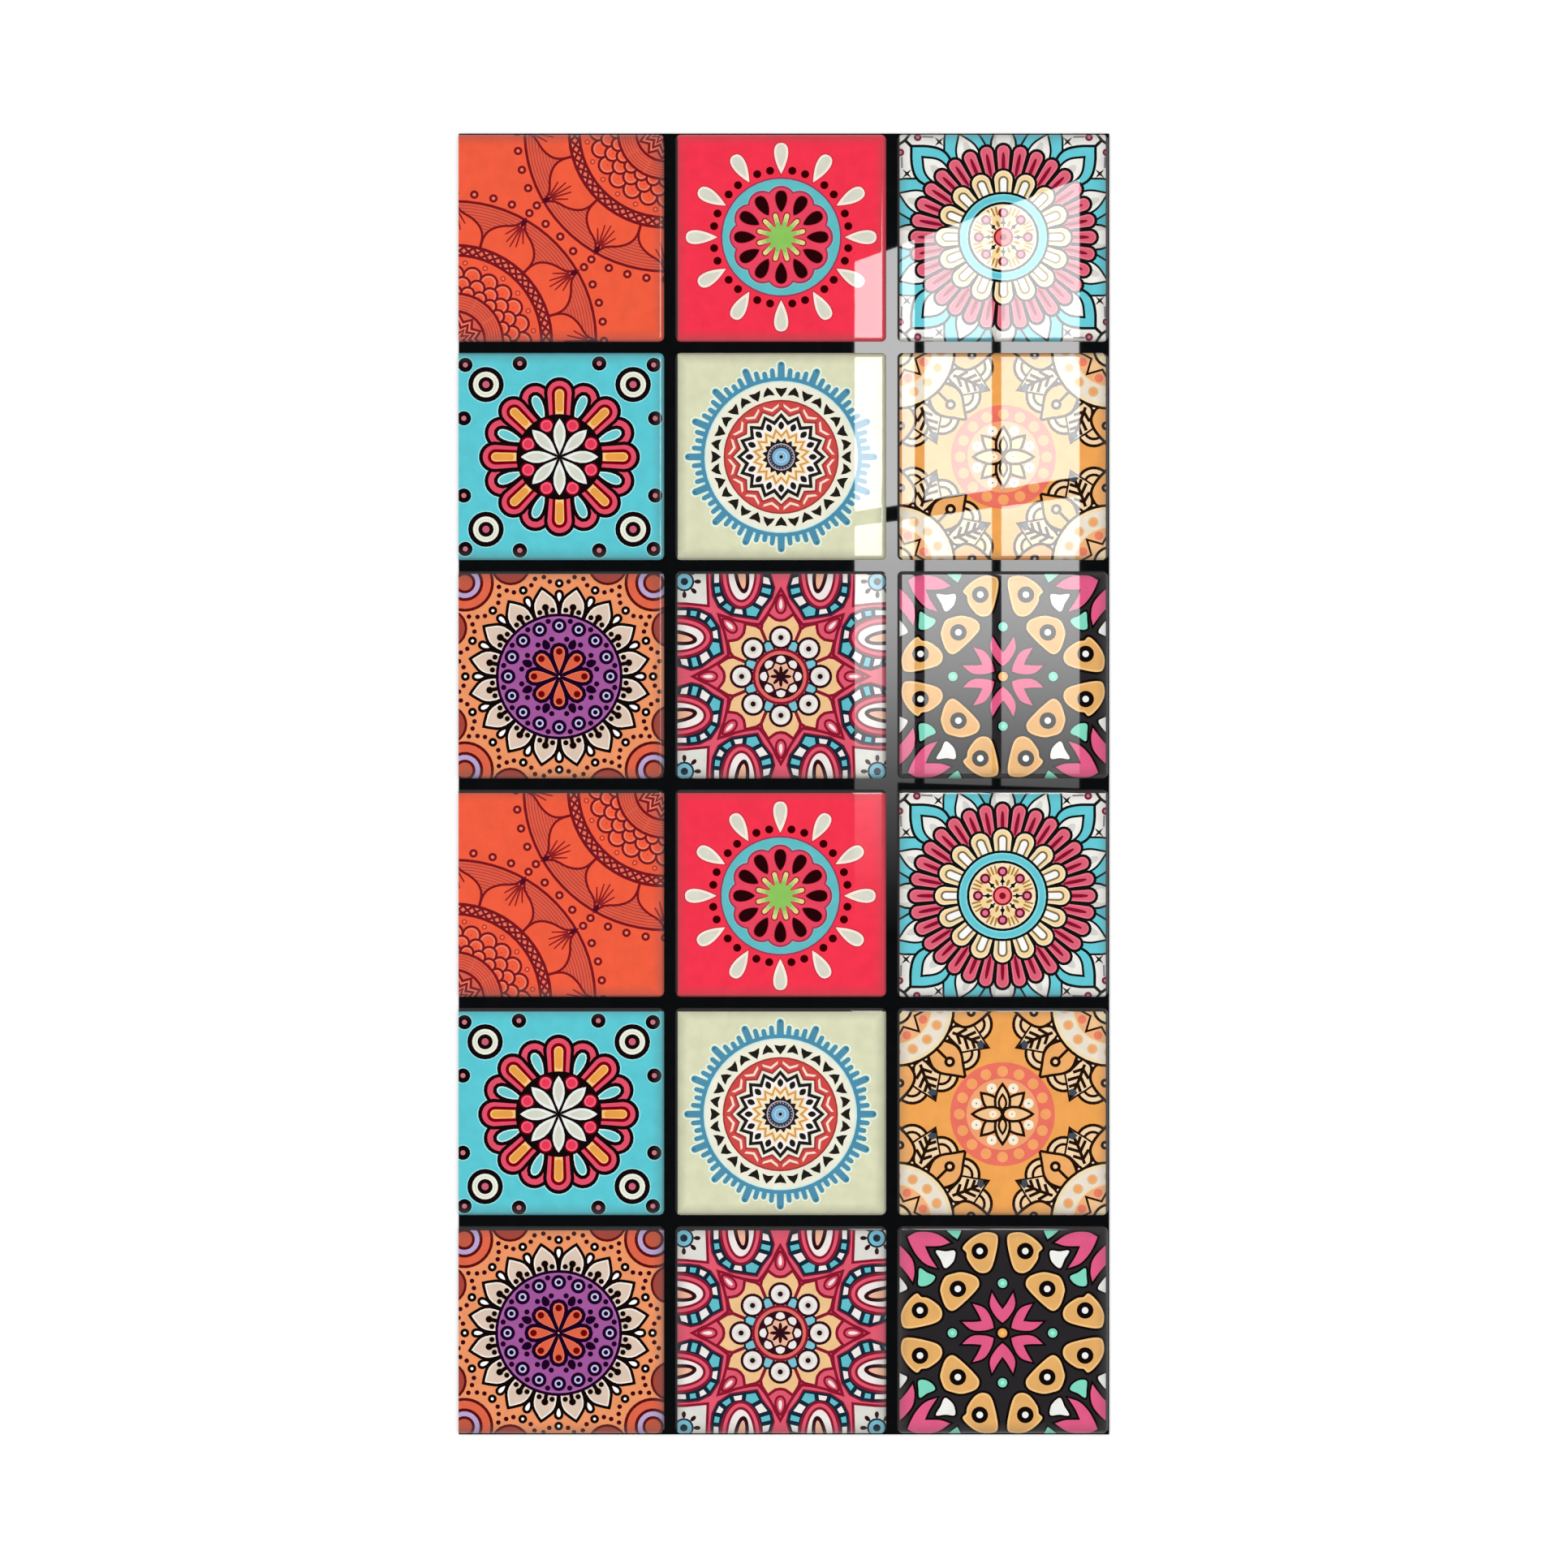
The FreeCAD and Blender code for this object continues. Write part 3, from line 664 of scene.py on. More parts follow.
def nightSquare():
    # bright petals, blobs with eyes and leaves on a dark ground
    rows = [("charcoal", [])]
    upperBlob = curve((-0.379, 0.821), (-0.297, 0.91), (-0.188, 0.965), (-0.079, 0.958), (-0.045, 0.91),
                      (-0.059, 0.787), (-0.106, 0.624), (-0.175, 0.576), (-0.257, 0.603), (-0.332, 0.705),
                      (-0.345, 0.774), closed=True)
    lowerBlob = curve((-0.55, 0.535), (-0.475, 0.569), (-0.379, 0.583), (-0.257, 0.542), (-0.222, 0.473),
                      (-0.257, 0.405), (-0.379, 0.282), (-0.475, 0.214), (-0.543, 0.255), (-0.584, 0.364),
                      (-0.591, 0.433), closed=True)
    blobs = eightfold(upperBlob) + mirrored(lowerBlob)
    rows += outlined(blobs, "tanPale", "black", 0.024)
    rows.append(("tan", [grown(blob, -0.018) for blob in blobs]))
    rows += dots((0.080, 0.032), ("black", "white"),
                 fourPlaces((-0.217, 0.787), (-0.787, 0.217), (-0.426, 0.424)))
    # leaves and fans: sharp at their tips and smooth between
    tips = (-0.905, 0.924), (-0.50, 0.869), (-0.741, 0.835), (-0.625, 0.624)
    pinkLeaf = np.vstack([curve(tips[0], (-0.82, 0.967), (-0.70, 0.969), (-0.60, 0.938), tips[1]),
                          curve(tips[1], (-0.598, 0.838), tips[2]),
                          curve(tips[2], (-0.695, 0.733), tips[3]),
                          curve(tips[3], (-0.734, 0.665), (-0.816, 0.746), (-0.872, 0.842), tips[0])])
    pinkSide = np.vstack([curve((-1.05, 0.90), (-0.925, 0.787), (-0.857, 0.692), (-0.840, 0.583),
                                (-0.857, 0.494)),
                          curve((-0.857, 0.494), (-0.915, 0.575), (-0.98, 0.65), (-1.05, 0.70))])
    whiteLeaf = curve((-0.635, 0.79), (-0.543, 0.784), (-0.457, 0.790), (-0.457, 0.719), (-0.488, 0.664),
                      (-0.55, 0.624), (-0.590, 0.705), closed=True)
    mintFan = curve((-0.789, 0.622), (-0.72, 0.580), (-0.645, 0.544), (-0.670, 0.490), (-0.734, 0.453),
                    (-0.800, 0.460), (-0.800, 0.542), closed=True)
    mintTop = np.vstack([curve((-0.60, 1.05), (-0.488, 0.944), (-0.431, 0.903)),
                         curve((-0.431, 0.903), (-0.400, 0.965), (-0.38, 1.05))])
    whiteSide = curve((-1.05, 0.60), (-0.965, 0.518), (-0.910, 0.433), (-0.952, 0.400), (-1.05, 0.36))
    tanCorner = points((-1.05, 1.05), (-1.05, 0.955), (-0.955, 1.05))
    for shape, ink in ((pinkLeaf, "pink"), (pinkSide, "pink"), (whiteLeaf, "white"), (mintFan, "mint"),
                       (mintTop, "mint"), (whiteSide, "white"), (tanCorner, "tan")):
        rows += outlined(mirrored(shape), ink, "black", 0.020)
    rows += dots((0.062, 0.045, 0.018), ("black", "mint", "mintPale"), spots(0.478, 4))
    tulip = np.vstack([curve((0, 0.098), (0.052, 0.146), (0.106, 0.228), (0.12, 0.296), (0.10, 0.385)),
                       curve((0.10, 0.385), (0.045, 0.29), (0, 0.228))])
    rows += outlined(around(symmetric(tulip), 6), "pink", "black", 0.020)
    return rows + dots((0.070, 0.045, 0.018), ("black", "orange", "tanPale"), [(0, 0)])


# the printed film: one closed thin patch over each raised square
filmLook = {
    "lift": 0.03,            # mm above the plastic
    "sink": 0.02,            # mm that the underside lies in the plastic
    "feather": 0.25,         # mm over which the film thins to nothing at its edge
    "cornerSteps": 6,        # segments round a square's corner
    "rimInsets": (0.2616, 0.42, 0.6, 0.8, 1.0808),   # mm from the foot to each crease round the rim
    "merge": 0.001,          # mm within which two points are one
    "reach": 1.5,            # half widths of a square, past which shapes are left out
    "underInk": "#101114",
}


def roundedOutline(halfAcross, halfAlong, radius):
    # a rectangle with round corners: four quarter circles joined by straight sides
    if radius <= 0:
        return points((halfAcross, halfAlong), (-halfAcross, halfAlong), (-halfAcross, -halfAlong),
                      (halfAcross, -halfAlong))
    quarter = np.radians(np.linspace(0, 90, filmLook["cornerSteps"] + 1))
    corners = []
    for turn, (x, y) in enumerate(((1, 1), (-1, 1), (-1, -1), (1, -1))):
        angle = quarter + turn * np.pi / 2
        corners.append(np.column_stack([x * (halfAcross - radius) + radius * np.cos(angle),
                                        y * (halfAlong - radius) + radius * np.sin(angle)]))
    return np.vstack(corners)


def footInset(inset):
    # the foot of a raised square, drawn in by inset mm
    sizes = sheetSizes
    return roundedOutline(sizes["squareWidth"] / 2 - inset, sizes["squareLength"] / 2 - inset,
                          sizes["cornerRadius"] - inset)


def insetAndSlope(plan):
    # distance in mm from each point to the rounded foot, and the unit direction out to it
    sizes = sheetSizes
    half = np.array([sizes["squareWidth"], sizes["squareLength"]]) / 2 - sizes["cornerRadius"]
    beyond = np.abs(plan) - half
    corner = np.maximum(beyond, 0)
    inCorner = (beyond > 0).all(axis=1)
    reach = np.where(inCorner, np.linalg.norm(corner, axis=1), beyond.max(axis=1))
    side = np.zeros_like(plan)
    side[np.arange(len(plan)), beyond.argmax(axis=1)] = 1
    length = np.maximum(np.linalg.norm(corner, axis=1), 1e-9)[:, None]
    outward = np.where(inCorner[:, None], corner / length, side) * np.sign(plan)
    return sizes["cornerRadius"] - reach, outward


def cushionHeight(inset):
    # height in mm of a raised square: a straight side, then a round rim, then the flat top
    sizes = sheetSizes
    radius, centre = sizes["rimRadius"], sizes["rimCentreInset"]
    middle = sizes["sheetTop"] - radius
    rimStart = middle + np.sqrt(radius ** 2 - (centre - sizes["sideInset"]) ** 2)
    side = sizes["jointFloor"] + (rimStart - sizes["jointFloor"]) * inset / sizes["sideInset"]
    rim = middle + np.sqrt(np.clip(radius ** 2 - (centre - inset) ** 2, 0, None))
    return np.where(inset < sizes["sideInset"], side, np.where(inset < centre, rim, sizes["sheetTop"]))


def cushionNormals(inset, outward):
    # the rim's normal tilts outwards: the tilt's sine is the distance from the rim's middle over its radius
    sizes = sheetSizes
    fromMiddle = sizes["rimCentreInset"] - np.maximum(inset, sizes["sideInset"])
    tilt = np.clip(fromMiddle / sizes["rimRadius"], 0, 1)
    return np.column_stack([outward * tilt[:, None], np.sqrt(1 - tilt ** 2)])


def insideOutline(places, outline):
    # even-odd rule: a place is inside if a line to its right crosses the outline an odd number of times
    low, high = outline.min(axis=0), outline.max(axis=0)
    inside = np.zeros(len(places), dtype=bool)
    near = np.flatnonzero(((places >= low) & (places <= high)).all(axis=1))
    if len(near) == 0:
        return inside
    x, y = places[near, 0, None], places[near, 1, None]
    ax, ay = outline[:, 0], outline[:, 1]
    bx, by = np.roll(ax, -1), np.roll(ay, -1)
    straddles = (ay > y) != (by > y)
    rise = np.where(by == ay, 1, by - ay)
    crossing = ax + (y - ay) * (bx - ax) / rise
    inside[near] = (straddles & (x < crossing)).sum(axis=1) % 2 == 1
    return inside


def triangulate(outlines):
    # constrained Delaunay triangles whose edges follow all the outlines: points, triangles, and the
    # outline points that each point stands for
    starts = np.cumsum([0] + [len(outline) for outline in outlines])
    edges = []
    for start, end in zip(starts[:-1], starts[1:]):
        index = np.arange(start, end)
        edges.append(np.column_stack([index, np.roll(index, -1)]))
    places = [tuple(place) for place in np.vstack(outlines)]
    result = delaunay_2d_cdt(places, np.vstack(edges).tolist(), [], 0, filmLook["merge"])
    plan = np.array([tuple(place) for place in result[0]])
    return plan, np.array(result[2], dtype=int), result[3]


def keptOutline(outline):
    # an outline without points that lie on one another, or None when too little is left
    step = np.linalg.norm(outline - np.roll(outline, 1, axis=0), axis=1)
    outline = outline[step > 2 * filmLook["merge"]]
    return outline if len(outline) > 2 else None


def boundaryLoop(triangles):
    # the edges that only one triangle has, in order
    pairs = np.vstack([triangles[:, (0, 1)], triangles[:, (1, 2)], triangles[:, (2, 0)]])
    ordered = {(int(a), int(b)) for a, b in pairs}
    following = {a: b for a, b in ordered if (b, a) not in ordered}
    loop = [next(iter(sorted(following)))]
    while following[loop[-1]] != loop[0]:
        loop.append(following[loop[-1]])
    return np.array(loop)


def facing(plan, triangles, side):
    # the triangles with their corners in the order that faces them up (side 1) or down (side -1)
    edgeA, edgeB = (plan[triangles[:, corner]] - plan[triangles[:, 0]] for corner in (1, 2))
    wrong = (edgeA[:, 0] * edgeB[:, 1] - edgeA[:, 1] * edgeB[:, 0]) * side < 0
    triangles[wrong] = triangles[wrong][:, ::-1]
    return triangles


def filmTop(rows, cut, span):
    # the film's face: points in mm, triangles, and the row whose ink each triangle has
    foot = footInset(0)
    outlines = [foot] + [footInset(inset) for inset in filmLook["rimInsets"]]
    if cut is not None:
        outlines += [points((x, -span), (x, span), (cut - 1, 0)) for x in (cut, cut + filmLook["feather"])]
    painted = []
    for row, (ink, shapes) in enumerate(rows):
        for outline in map(keptOutline, shapes):
            if outline is not None and (np.abs(outline).min(axis=0) < span).all():
                painted.append((row, outline))
    plan, triangles = triangulate(outlines + [outline for row, outline in painted])[:2]
    centres = plan[triangles].mean(axis=1)
    kept = insideOutline(centres, foot)
    if cut is not None:
        kept &= centres[:, 0] > cut
    triangles, centres = triangles[kept], centres[kept]
    order = np.zeros(len(triangles), dtype=int)
    for row, outline in painted:
        order[insideOutline(centres, outline)] = row
    used, triangles = np.unique(facing(plan, triangles, 1), return_inverse=True)
    return plan[used], triangles.reshape(-1, 3), order


def filmUnder(plan, triangles, cut, span):
    # the film's underside shares the border of its face: the points that it adds inside, and its triangles
    loop = boundaryLoop(triangles)
    creases = [footInset(inset) for inset in filmLook["rimInsets"]]
    if cut is not None:
        creases = [np.maximum(crease, (cut + filmLook["feather"], -span)) for crease in creases]
    underPlan, under, sources = triangulate([plan[loop]] + creases)
    under = facing(underPlan, under[insideOutline(underPlan[under].mean(axis=1), plan[loop])], -1)
    index = np.full(len(underPlan), -1)
    for place, origins in enumerate(sources):
        shared = [origin for origin in origins if origin < len(loop)]
        if shared:
            index[place] = loop[shared[0]]
    fresh = np.flatnonzero(index < 0)
    index[fresh] = len(plan) + np.arange(len(fresh))
    return underPlan[fresh], index[under]


def filmPatch(rows, cut):
    # the film over one square about its own middle: points in mm, triangles, one ink a triangle,
    # normals at the corners, and how many of the triangles are its face
    span = np.abs(footInset(0)).max() * filmLook["reach"]
    plan, top, order = filmTop(rows, cut, span)
    added, under = filmUnder(plan, top, cut, span)
    whole = np.vstack([plan, added])
    inset, outward = insetAndSlope(whole)
    margin = inset if cut is None else np.minimum(inset, whole[:, 0] - cut)
    level = np.where(np.arange(len(whole)) < len(plan), filmLook["lift"], -filmLook["sink"])
    height = cushionHeight(inset) + level * np.clip(margin / filmLook["feather"], 0, 1)
    faces = np.vstack([top, under])
    normals = cushionNormals(inset, outward)[faces]
    normals[len(top):] *= -1
    inks = [rows[row][0] for row in order] + [filmLook["underInk"]] * len(under)
    return np.column_stack([whole, height]), faces, inks, normals, len(top)


# printed columns: the film over one column of squares is one piece
columnNames = ("print_column_left", "print_column_middle", "print_column_right")

# how the print lies on the squares: mm off each square's middle, and stretch across and along
printFit = {
    "columnDrift": (0.03, -0.10, -0.10),
    "rowDrift": ((0.20, 0.13), (0.20, -0.16), (0.13, -0.40), (0.0, -0.59), (0.0, -0.55), (0.0, -0.62)),
    "stretch": ((1.011, 1.0), (1.012, 1.003), (1.003, 0.995)),
}

# each square's drawing and its inks, three rows of them in turn, and how many mm its dark ink has crept
squareDesigns = (
    ((laceSquare, laceInks, 0.10), (dropSquare, dropInks, 0.04), (loopSquare, loopInks, 0.02)),
    ((lotusSquare, lotusInks, 0.11), (zigzagSquare, zigzagInks, 0.07), (gardenSquare, gardenInks, 0.10)),
    ((plumSquare, plumInks, 0.10), (starSquare, starInks, 0.10), (nightSquare, nightInks, 0.0)),
)

# painted shade: near-black strips along some edges of the squares, for the shaded side of their rims: mm in
# from the foot that each strip covers
paintedShadeEdges = {
    "ink": "#0C0C0F",
    "left": (0.0, 0.5, 0.5),                       # by column
    "right": (0.0, 0.0, 0.6),
    "top": (0.0, 0.0, 0.65, 0.8, 0.8, 0.85),       # by row
    "over": 1.0,                                   # mm that a painted shade strip reaches past the foot
}

# each square has a cell of its own in the bake map: margin and strip are shares of a cell's height
bakeLayout = {
    "across": 2,
    "along": 3,
    "margin": 0.012,
    "strip": 0.02,         # kept below the face for the underside
    "stripFilled": 0.6,    # the share of the strip that the underside takes
}


def placed(name, data):
    # an object in the scene
    piece = bpy.data.objects.new(name, data)
    bpy.context.scene.collection.objects.link(piece)
    return piece


def squareMiddle(column, row):
    sizes = sheetSizes
    return sizes["columnCentres"][column], ((sizes["rows"] - 1) / 2 - row) * sizes["pitchAlong"]


def paintedShadeStrips(column, row):
    # painted shade strips in mm along some edges of a square, each reaching a little over the foot
    across, along = sheetSizes["squareWidth"] / 2, sheetSizes["squareLength"] / 2
    left, right, top = paintedShadeEdges["left"][column], paintedShadeEdges["right"][column], paintedShadeEdges["top"][row]
    outX, outY = across + paintedShadeEdges["over"], along + paintedShadeEdges["over"]
    strips = (
        (left, -outX, -outY, left - across, outY),
        (right, across - right, -outY, outX, outY),
        (top, -outX, along - top, outX, outY),
    )
    return [points((x0, y0), (x1, y0), (x1, y1), (x0, y1)) for shadeWidth, x0, y0, x1, y1 in strips if shadeWidth]


def bakePlaces(plan, slot, underside):
    layout = bakeLayout
    cell = np.array([1 / layout["across"], 1 / layout["along"]])
    margin, strip = layout["margin"] * cell[1], layout["strip"] * cell[1]
    corner = cell * (slot % layout["across"], slot // layout["across"]) + margin
    room = cell - 2 * margin
    share = plan / (sheetSizes["squareWidth"], sheetSizes["squareLength"]) + 0.5
    face = corner + (0, strip) + share * (room - (0, strip))
    below = corner + share * (room[0], strip * layout["stripFilled"])
    return np.where(underside[:, None], below, face)


def squareFilm(column, row, drawing):
    # the film over one square at its place in the sheet, in metres: points, triangles, inks, normals,
    # bake places
    middle = np.array(squareMiddle(column, row))
    cut = sheetSizes["cutEdge"] - middle[0] if column == 0 else None
    drift = np.array(printFit["rowDrift"][row]) + (printFit["columnDrift"][column], 0)
    scale = inkLook["unit"] * np.array(printFit["stretch"][row % len(squareDesigns)])
    rows = [(ink, [shape * scale + drift for shape in shapes]) for ink, shapes in drawing]
    # painted shade strips along some edges, over the inks
    rows.append((paintedShadeEdges["ink"], paintedShadeStrips(column, row)))
    patch, triangles, inks, normals, topCount = filmPatch(rows, cut)
    underside = np.repeat(np.arange(len(triangles)) >= topCount, 3)
    uvs = bakePlaces(patch[triangles.ravel(), :2], row, underside)
    return (patch + (*middle, 0)) * millimetre, triangles, inks, normals.reshape(-1, 3), uvs


def printedColumn(column, designs):
    films = [squareFilm(column, row, designs[row % len(designs)][column])
             for row in range(sheetSizes["rows"])]
    places, faces, inks, normals, uvs = zip(*films)
    firsts = np.cumsum([0] + [len(patch) for patch in places[:-1]])
    faces = np.vstack([triangles + first for triangles, first in zip(faces, firsts)])
    mesh = bpy.data.meshes.new(columnNames[column])
    mesh.from_pydata(np.vstack(places).tolist(), [], faces.tolist())
    inks = [ink for squareInks in inks for ink in squareInks]
    colourOf = {ink: linearColour(ink) for ink in set(inks)}
    colours = np.repeat(np.array([colourOf[ink] for ink in inks]), 3, axis=0)
    attribute = mesh.color_attributes.new("ink", "BYTE_COLOR", "CORNER")
    attribute.data.foreach_set("color", colours.astype(np.float32).ravel())
    layer = mesh.uv_layers.new(name="OFBake")
    layer.uv.foreach_set("vector", np.vstack(uvs).astype(np.float32).ravel())
    mesh.shade_smooth()
    mesh.normals_split_custom_set(np.vstack(normals).tolist())
    mesh.update()
    print(columnNames[column], len(faces), "triangles")
    return placed(columnNames[column], mesh)


# materials; a mix of two colours has them at inputs 6 and 7, and their mix at output 2
def addNode(tree, kind, values=None):
    # a new node, or the tree's own node of that name, with its properties by name and its inputs by name or
    # number: an input takes a value, an output to link to it, or a node whose first output is linked to it
    node = tree.nodes.get(kind) or tree.nodes.new(kind)
    for name, value in (values or {}).items():
        if isinstance(value, bpy.types.Node):
            value = value.outputs[0]
        if hasattr(node, str(name)):
            setattr(node, name, value)
        elif isinstance(value, bpy.types.NodeSocket):
            tree.links.new(value, node.inputs[name])
        else:
            node.inputs[name].default_value = value
    return node


def newMaterial(name, values):
    # a material whose shader has these values, or the values that a function of its node tree gives
    material = bpy.data.materials.new(name)
    material.use_nodes = True
    tree = material.node_tree
    addNode(tree, "Principled BSDF", values(tree) if callable(values) else values)
    return material


printLook = {
    "roughness": 0.015,
    "ior": 1.5,
    # painted shade: the ink is mixed towards this grey near each square's edges, where the rim rolls down
    # into the joint
    "paintedEdgeShade": "#5A5656",
    "edgeShadeStrength": 0.45,
    "edgeReach": 2.9,       # mm that the darker edge of a square reaches in
    "edgeBend": 1.2,        # above 1 keeps the darkest part nearer the edge
    "mottle": 0.05,
    "mottleSize": 3.0,      # mm
    "mottleDetail": 3.0,
    "mottleRange": (0.3, 0.7),   # the noise levels that give the darkest and the palest ink
    "peelSize": 1.6,        # mm between the faint ripples of the gloss
    "peelDetail": 1.0,
    "peelHeight": 0.0002,   # mm
}


def insetAlong(tree, place, pitch, side, centre):
    # how far inside its square's straight edges a place is, along one axis: half the side less the
    # distance to the nearest middle
    shifted = addNode(tree, "ShaderNodeMath", {"operation": "SUBTRACT", 0: place, 1: centre * millimetre})
    wrapped = addNode(tree, "ShaderNodeMath", {"operation": "WRAP", 0: shifted, 1: pitch / 2 * millimetre,
                                               2: -pitch / 2 * millimetre})
    away = addNode(tree, "ShaderNodeMath", {"operation": "ABSOLUTE", 0: wrapped})
    return addNode(tree, "ShaderNodeMath", {"operation": "SUBTRACT", 0: side / 2 * millimetre, 1: away})


def paintedShadeShare(tree, place):
    # how much painted shade a place gets near its square's edges, where the rim rolls down into the joint;
    # the sheet's cut left edge has none
    look, sizes = printLook, sheetSizes
    axes = addNode(tree, "ShaderNodeSeparateXYZ", {0: place}).outputs
    x, y = axes["X"], axes["Y"]
    across = insetAlong(tree, x, sizes["pitchAcross"], sizes["squareWidth"], sizes["columnCentres"][1])
    along = insetAlong(tree, y, sizes["pitchAlong"], sizes["squareLength"], sizes["pitchAlong"] / 2)
    cutHalf = addNode(tree, "ShaderNodeMath", {"operation": "LESS_THAN", 0: x,
                                               1: sizes["columnCentres"][0] * millimetre})
    shadeless = addNode(tree, "ShaderNodeMath", {"operation": "ADD", 0: across, 1: cutHalf})
    nearest = addNode(tree, "ShaderNodeMath", {"operation": "MINIMUM", 0: shadeless, 1: along})
    closeness = addNode(tree, "ShaderNodeMapRange", {"Value": nearest, "From Min": 0.0,
                                                     "From Max": look["edgeReach"] * millimetre,
                                                     "To Min": 1.0, "To Max": 0.0})
    bent = addNode(tree, "ShaderNodeMath", {"operation": "POWER", 0: closeness, 1: look["edgeBend"]})
    return addNode(tree, "ShaderNodeMath", {"operation": "MULTIPLY", 0: bent, 1: look["edgeShadeStrength"]})


def glossPrintedVinyl(tree):
    # printed vinyl under a clear gloss film: even colours with a slightly cloudy ink, painted shade near
    # each square's edges, and sharp reflections
    look = printLook
    dark, pale = look["mottleRange"]
    place = addNode(tree, "ShaderNodeTexCoord").outputs["Object"]
    cloud = addNode(tree, "ShaderNodeTexNoise", {"Vector": place, "Detail": look["mottleDetail"],
                                                 "Scale": 1 / (look["mottleSize"] * millimetre)})
    tone = addNode(tree, "ShaderNodeMapRange", {"Value": cloud, "From Min": dark, "From Max": pale,
                                                "To Min": 1 - look["mottle"], "To Max": 1 + look["mottle"]})
    ink = addNode(tree, "ShaderNodeVertexColor", {"layer_name": "ink"})
    toned = addNode(tree, "ShaderNodeHueSaturation", {"Value": tone, "Color": ink})
    # painted shade: the ink mixed towards a dark grey near each square's edges
    shaded = addNode(tree, "ShaderNodeMix", {"data_type": "RGBA", 0: paintedShadeShare(tree, place), 6: toned,
                                             7: linearColour(look["paintedEdgeShade"])})
    ripple = addNode(tree, "ShaderNodeTexNoise", {"Vector": place, "Detail": look["peelDetail"],
                                                  "Scale": 1 / (look["peelSize"] * millimetre)})
    bump = addNode(tree, "ShaderNodeBump", {"Height": ripple, "Strength": 1.0,
                                            "Distance": look["peelHeight"] * millimetre})
    return {"Base Color": shaded.outputs[2], "Normal": bump, "Roughness": look["roughness"],
            "IOR": look["ior"]}


sheetLook = {
    "black": ("#08090B", "#101113"),       # two shades in the grain
    "adhesive": ("#BDBAB0", "#D3D1C8"),
    "grainSize": 2.5,        # mm
    "grainDetail": 4.0,
    "roughness": 0.02,
    "ior": 1.5,
    "adhesiveRoughness": 0.45,
    "adhesiveHeight": 0.02,  # mm above the back face, up to which the plastic shows adhesive
}


def glossBlackVinyl(tree):
    # black vinyl sheet, calendered and pressed: a deep gloss in the joints, and a dull pale adhesive
    # on the back
    look = sheetLook
    place = addNode(tree, "ShaderNodeTexCoord").outputs["Object"]
    height = addNode(tree, "ShaderNodeSeparateXYZ", {0: place}).outputs["Z"]
    back = addNode(tree, "ShaderNodeMath", {"operation": "LESS_THAN", 0: height,
                                            1: look["adhesiveHeight"] * millimetre})
    grain = addNode(tree, "ShaderNodeTexNoise", {"Vector": place, "Detail": look["grainDetail"],
                                                 "Scale": 1 / (look["grainSize"] * millimetre)})
    deep, tack = (addNode(tree, "ShaderNodeMix", {"data_type": "RGBA", 0: grain, 6: linearColour(first),
                                                  7: linearColour(second)}).outputs[2]
                  for first, second in (look["black"], look["adhesive"]))
    colour = addNode(tree, "ShaderNodeMix", {"data_type": "RGBA", 0: back, 6: deep, 7: tack}).outputs[2]
    rough = addNode(tree, "ShaderNodeMapRange", {"Value": back, "To Min": look["roughness"],
                                                 "To Max": look["adhesiveRoughness"]})
    return {"Base Color": colour, "Roughness": rough, "IOR": look["ior"]}


# stage: camera, floor, sky, lamp and the window seen in the gloss
cameraView = {
    "lens": 100.0,
    "sensor": 36.0,
    "frameWidth": 0.3613,      # metres across the picture at the printed face
    "farthest": 50,            # metres
}

stageLook = {
    "floorSize": 6.0,
    "floorColour": "#E4E4E4",
    "floorRoughness": 0.9,
    "floorGlow": 0.27,
    "lampPower": 58.5,
    "lampHeight": 2.2,
    "lampSize": 2.4,
    "skyStrength": 0.78,
    "skyLevels": ((0.0, 0.7), (0.17, 0.4), (0.6, 0.25), (0.76, 0.2), (0.94, 0.0)),   # (height, level)
}

# the window that the gloss mirrors, in mm on the printed face as the camera sees it there
windowLook = {
    "height": 0.15,          # metres from the face up to the panes
    "panes": ((16.3, 30.1), (32.4, 47.9), (50.1, 68.1)),
    "upper": ((62.8, 0.155), (120.3, 0.368)),   # lower and upper edge: height at the first pane, slope
    "lower": ((0.7, -0.032), (59.4, 0.133)),
    "strip": (16.3, 26.2, -34.4),               # left, right and foot of the pane that reaches lowest
    "light": 12.4,
    # heights, and the share of the light there
    "fade": ((-34.4, 0.0), (-24.0, 0.021), (-5.4, 0.12), (3.0, 0.19), (13.3, 0.32), (22.0, 0.47),
             (31.9, 0.62), (41.0, 0.75), (50.6, 0.8), (60.9, 0.92), (62.0, 1.0)),
}


def cameraHeight():
    # above the printed face
    return cameraView["frameWidth"] * cameraView["lens"] / cameraView["sensor"]


def setCamera():
    view = cameraView
    data = bpy.data.cameras.new("camera")
    data.lens = view["lens"]
    data.sensor_width = view["sensor"]
    data.clip_end = view["farthest"]
    camera = placed("camera", data)
    camera.location = (0, 0, cameraHeight() + sheetSizes["sheetTop"] * millimetre)
    bpy.context.scene.camera = camera


def planeAt(name, corners):
    mesh = bpy.data.meshes.new(name)
    mesh.from_pydata(corners, [], [tuple(range(len(corners)))])
    return placed(name, mesh)


def layFloor():
    look = stageLook
    side = look["floorSize"] / 2
    floor = planeAt("floor", [(-side, -side, 0), (side, -side, 0), (side, side, 0), (-side, side, 0)])
    floor.data.materials.append(newMaterial("paleStudioFloor", {
        "Base Color": linearColour(look["floorColour"]),
        "Roughness": look["floorRoughness"],
        "Specular IOR Level": 0.0,
        "Emission Color": linearColour("#FFFFFF"),
        "Emission Strength": look["floorGlow"],
    }))


def setGreys(elements, stops):
    # a colour ramp's stops as (position, grey level)
    while len(elements) < len(stops):
        elements.new(0.5)
    for element, (position, level) in zip(elements, stops):
        element.position = position
        element.color = (level, level, level, 1)


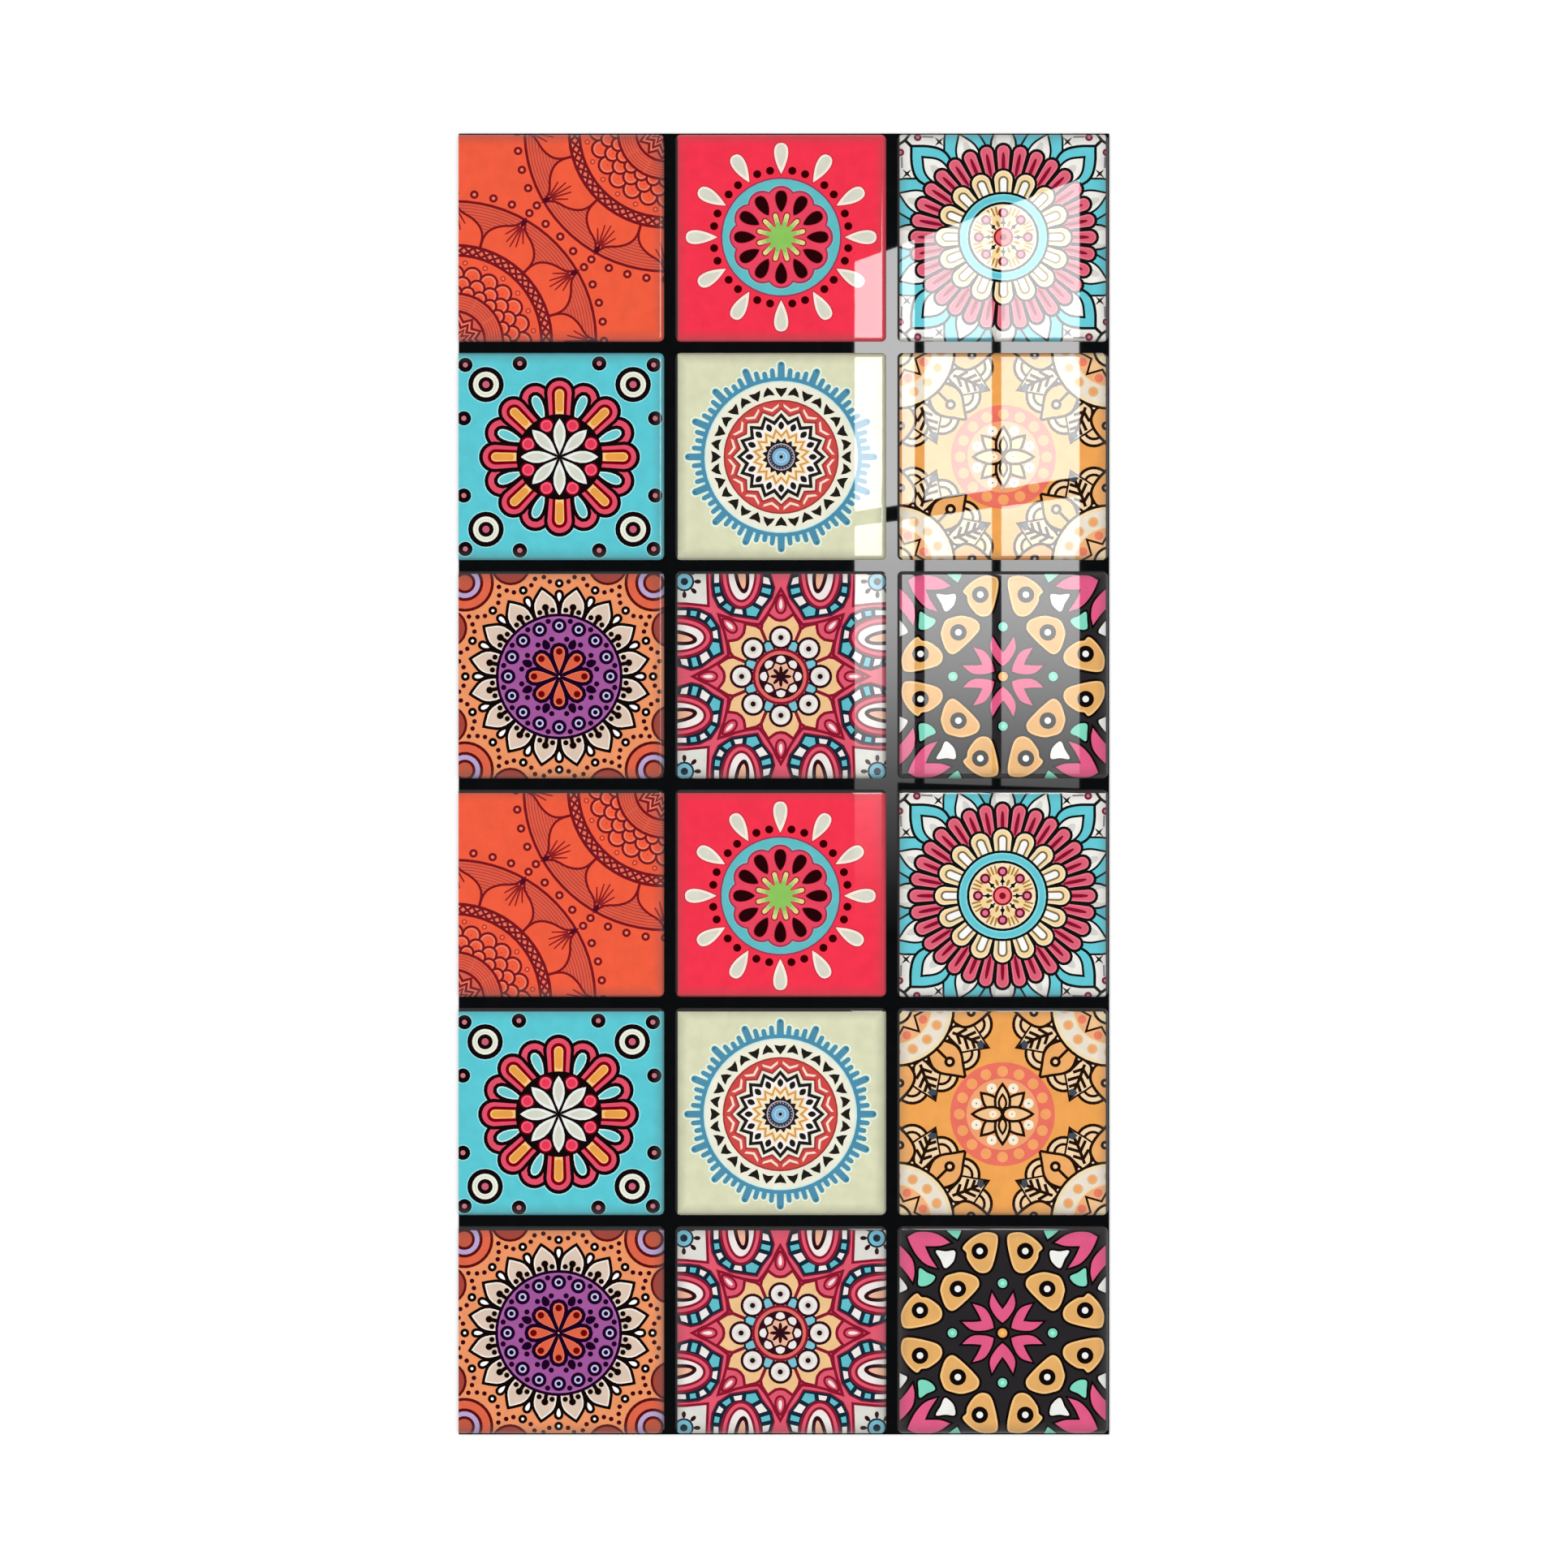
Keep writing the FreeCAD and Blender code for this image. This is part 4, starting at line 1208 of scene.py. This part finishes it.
def softSky():
    # dark overhead, so that the gloss shows its own colours from above, and bright towards the horizon
    world = bpy.data.worlds.new("softSky")
    bpy.context.scene.world = world
    world.use_nodes = True
    tree = world.node_tree
    direction = addNode(tree, "ShaderNodeTexCoord").outputs["Generated"]
    height = addNode(tree, "ShaderNodeSeparateXYZ", {0: direction}).outputs["Z"]
    ramp = addNode(tree, "ShaderNodeValToRGB", {0: height})
    setGreys(ramp.color_ramp.elements, stageLook["skyLevels"])
    addNode(tree, "Background", {"Color": ramp, "Strength": stageLook["skyStrength"]})


def hangLamp():
    # a soft lamp straight overhead that the gloss doesn't mirror
    data = bpy.data.lights.new("softboxOverhead", "AREA")
    data.shape = "SQUARE"
    data.size = stageLook["lampSize"]
    data.energy = stageLook["lampPower"]
    lamp = placed("softboxOverhead", data)
    lamp.location = (0.0, 0.0, stageLook["lampHeight"])
    lamp.visible_glossy = False


def windowSpread():
    # metres at the panes for each mm on the face: a pane that the camera sees mirrored at p on the face
    # hangs at p x (1 + its height / the camera's)
    return millimetre * (1 + windowLook["height"] / cameraHeight())


def edgeHeight(edge, x):
    # a slanted edge of the panes: its height at the first pane, and its slope from there
    start, slope = edge
    return start + slope * (x - windowLook["panes"][0][0])


def paneOutlines():
    look = windowLook
    outlines = []
    for left, right in look["panes"]:
        for low, high in (look["upper"], look["lower"]):
            outlines.append([(left, edgeHeight(low, left)), (right, edgeHeight(low, right)),
                             (right, edgeHeight(high, right)), (left, edgeHeight(high, left))])
    left, right, foot = look["strip"]
    top = look["lower"][0][0]
    return outlines + [[(left, foot), (right, foot), (right, top), (left, top)]]


def windowLight(tree):
    # light that fades down the window
    spread = windowSpread()
    fade = windowLook["fade"]
    low, high = fade[0][0], fade[-1][0]
    place = addNode(tree, "ShaderNodeTexCoord").outputs["Object"]
    y = addNode(tree, "ShaderNodeSeparateXYZ", {0: place}).outputs["Y"]
    along = addNode(tree, "ShaderNodeMapRange", {"Value": y, "From Min": low * spread,
                                                 "From Max": high * spread})
    ramp = addNode(tree, "ShaderNodeValToRGB", {0: along})
    setGreys(ramp.color_ramp.elements, [((height - low) / (high - low), share) for height, share in fade])
    strength = addNode(tree, "ShaderNodeMath", {"operation": "MULTIPLY", 0: ramp, 1: windowLook["light"]})
    return {"Base Color": (0, 0, 0, 1), "Specular IOR Level": 0.0, "Emission Color": (1, 1, 1, 1),
            "Emission Strength": strength}


def hangWindow():
    # panes of light that only reflections see
    spread = windowSpread()
    height = windowLook["height"] + sheetSizes["sheetTop"] * millimetre
    material = newMaterial("windowLight", windowLight)
    for index, outline in enumerate(paneOutlines()):
        pane = planeAt(f"windowPane{index}", [(x * spread, y * spread, height) for x, y in outline])
        pane.data.materials.append(material)
        for sight in ("camera", "diffuse", "transmission", "volume_scatter", "shadow"):
            setattr(pane, f"visible_{sight}", False)


setCamera()
layFloor()
softSky()
hangLamp()
hangWindow()
print("stage: camera, floor, sky, lamp and mirrored window")

designs = [[printedRows(drawing(), inks, creep) for drawing, inks, creep in line] for line in squareDesigns]
shapeCounts = [sum(len(shapes) for ink, shapes in design) for line in designs for design in line]
print("designs:", shapeCounts, "ink shapes")

vinyl = newMaterial("glossPrintedVinyl", glossPrintedVinyl)
for column in range(len(columnNames)):
    piece = printedColumn(column, designs)
    piece.data.materials.append(vinyl)
    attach(piece, "root")

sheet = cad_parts["tile_sheet"]
black = newMaterial("glossBlackVinyl", glossBlackVinyl)
sheet.data.materials.clear()
sheet.data.materials.append(black)
print("sheet: black gloss in front, adhesive on the back")

bpy.context.scene.view_settings.view_transform = "Standard"
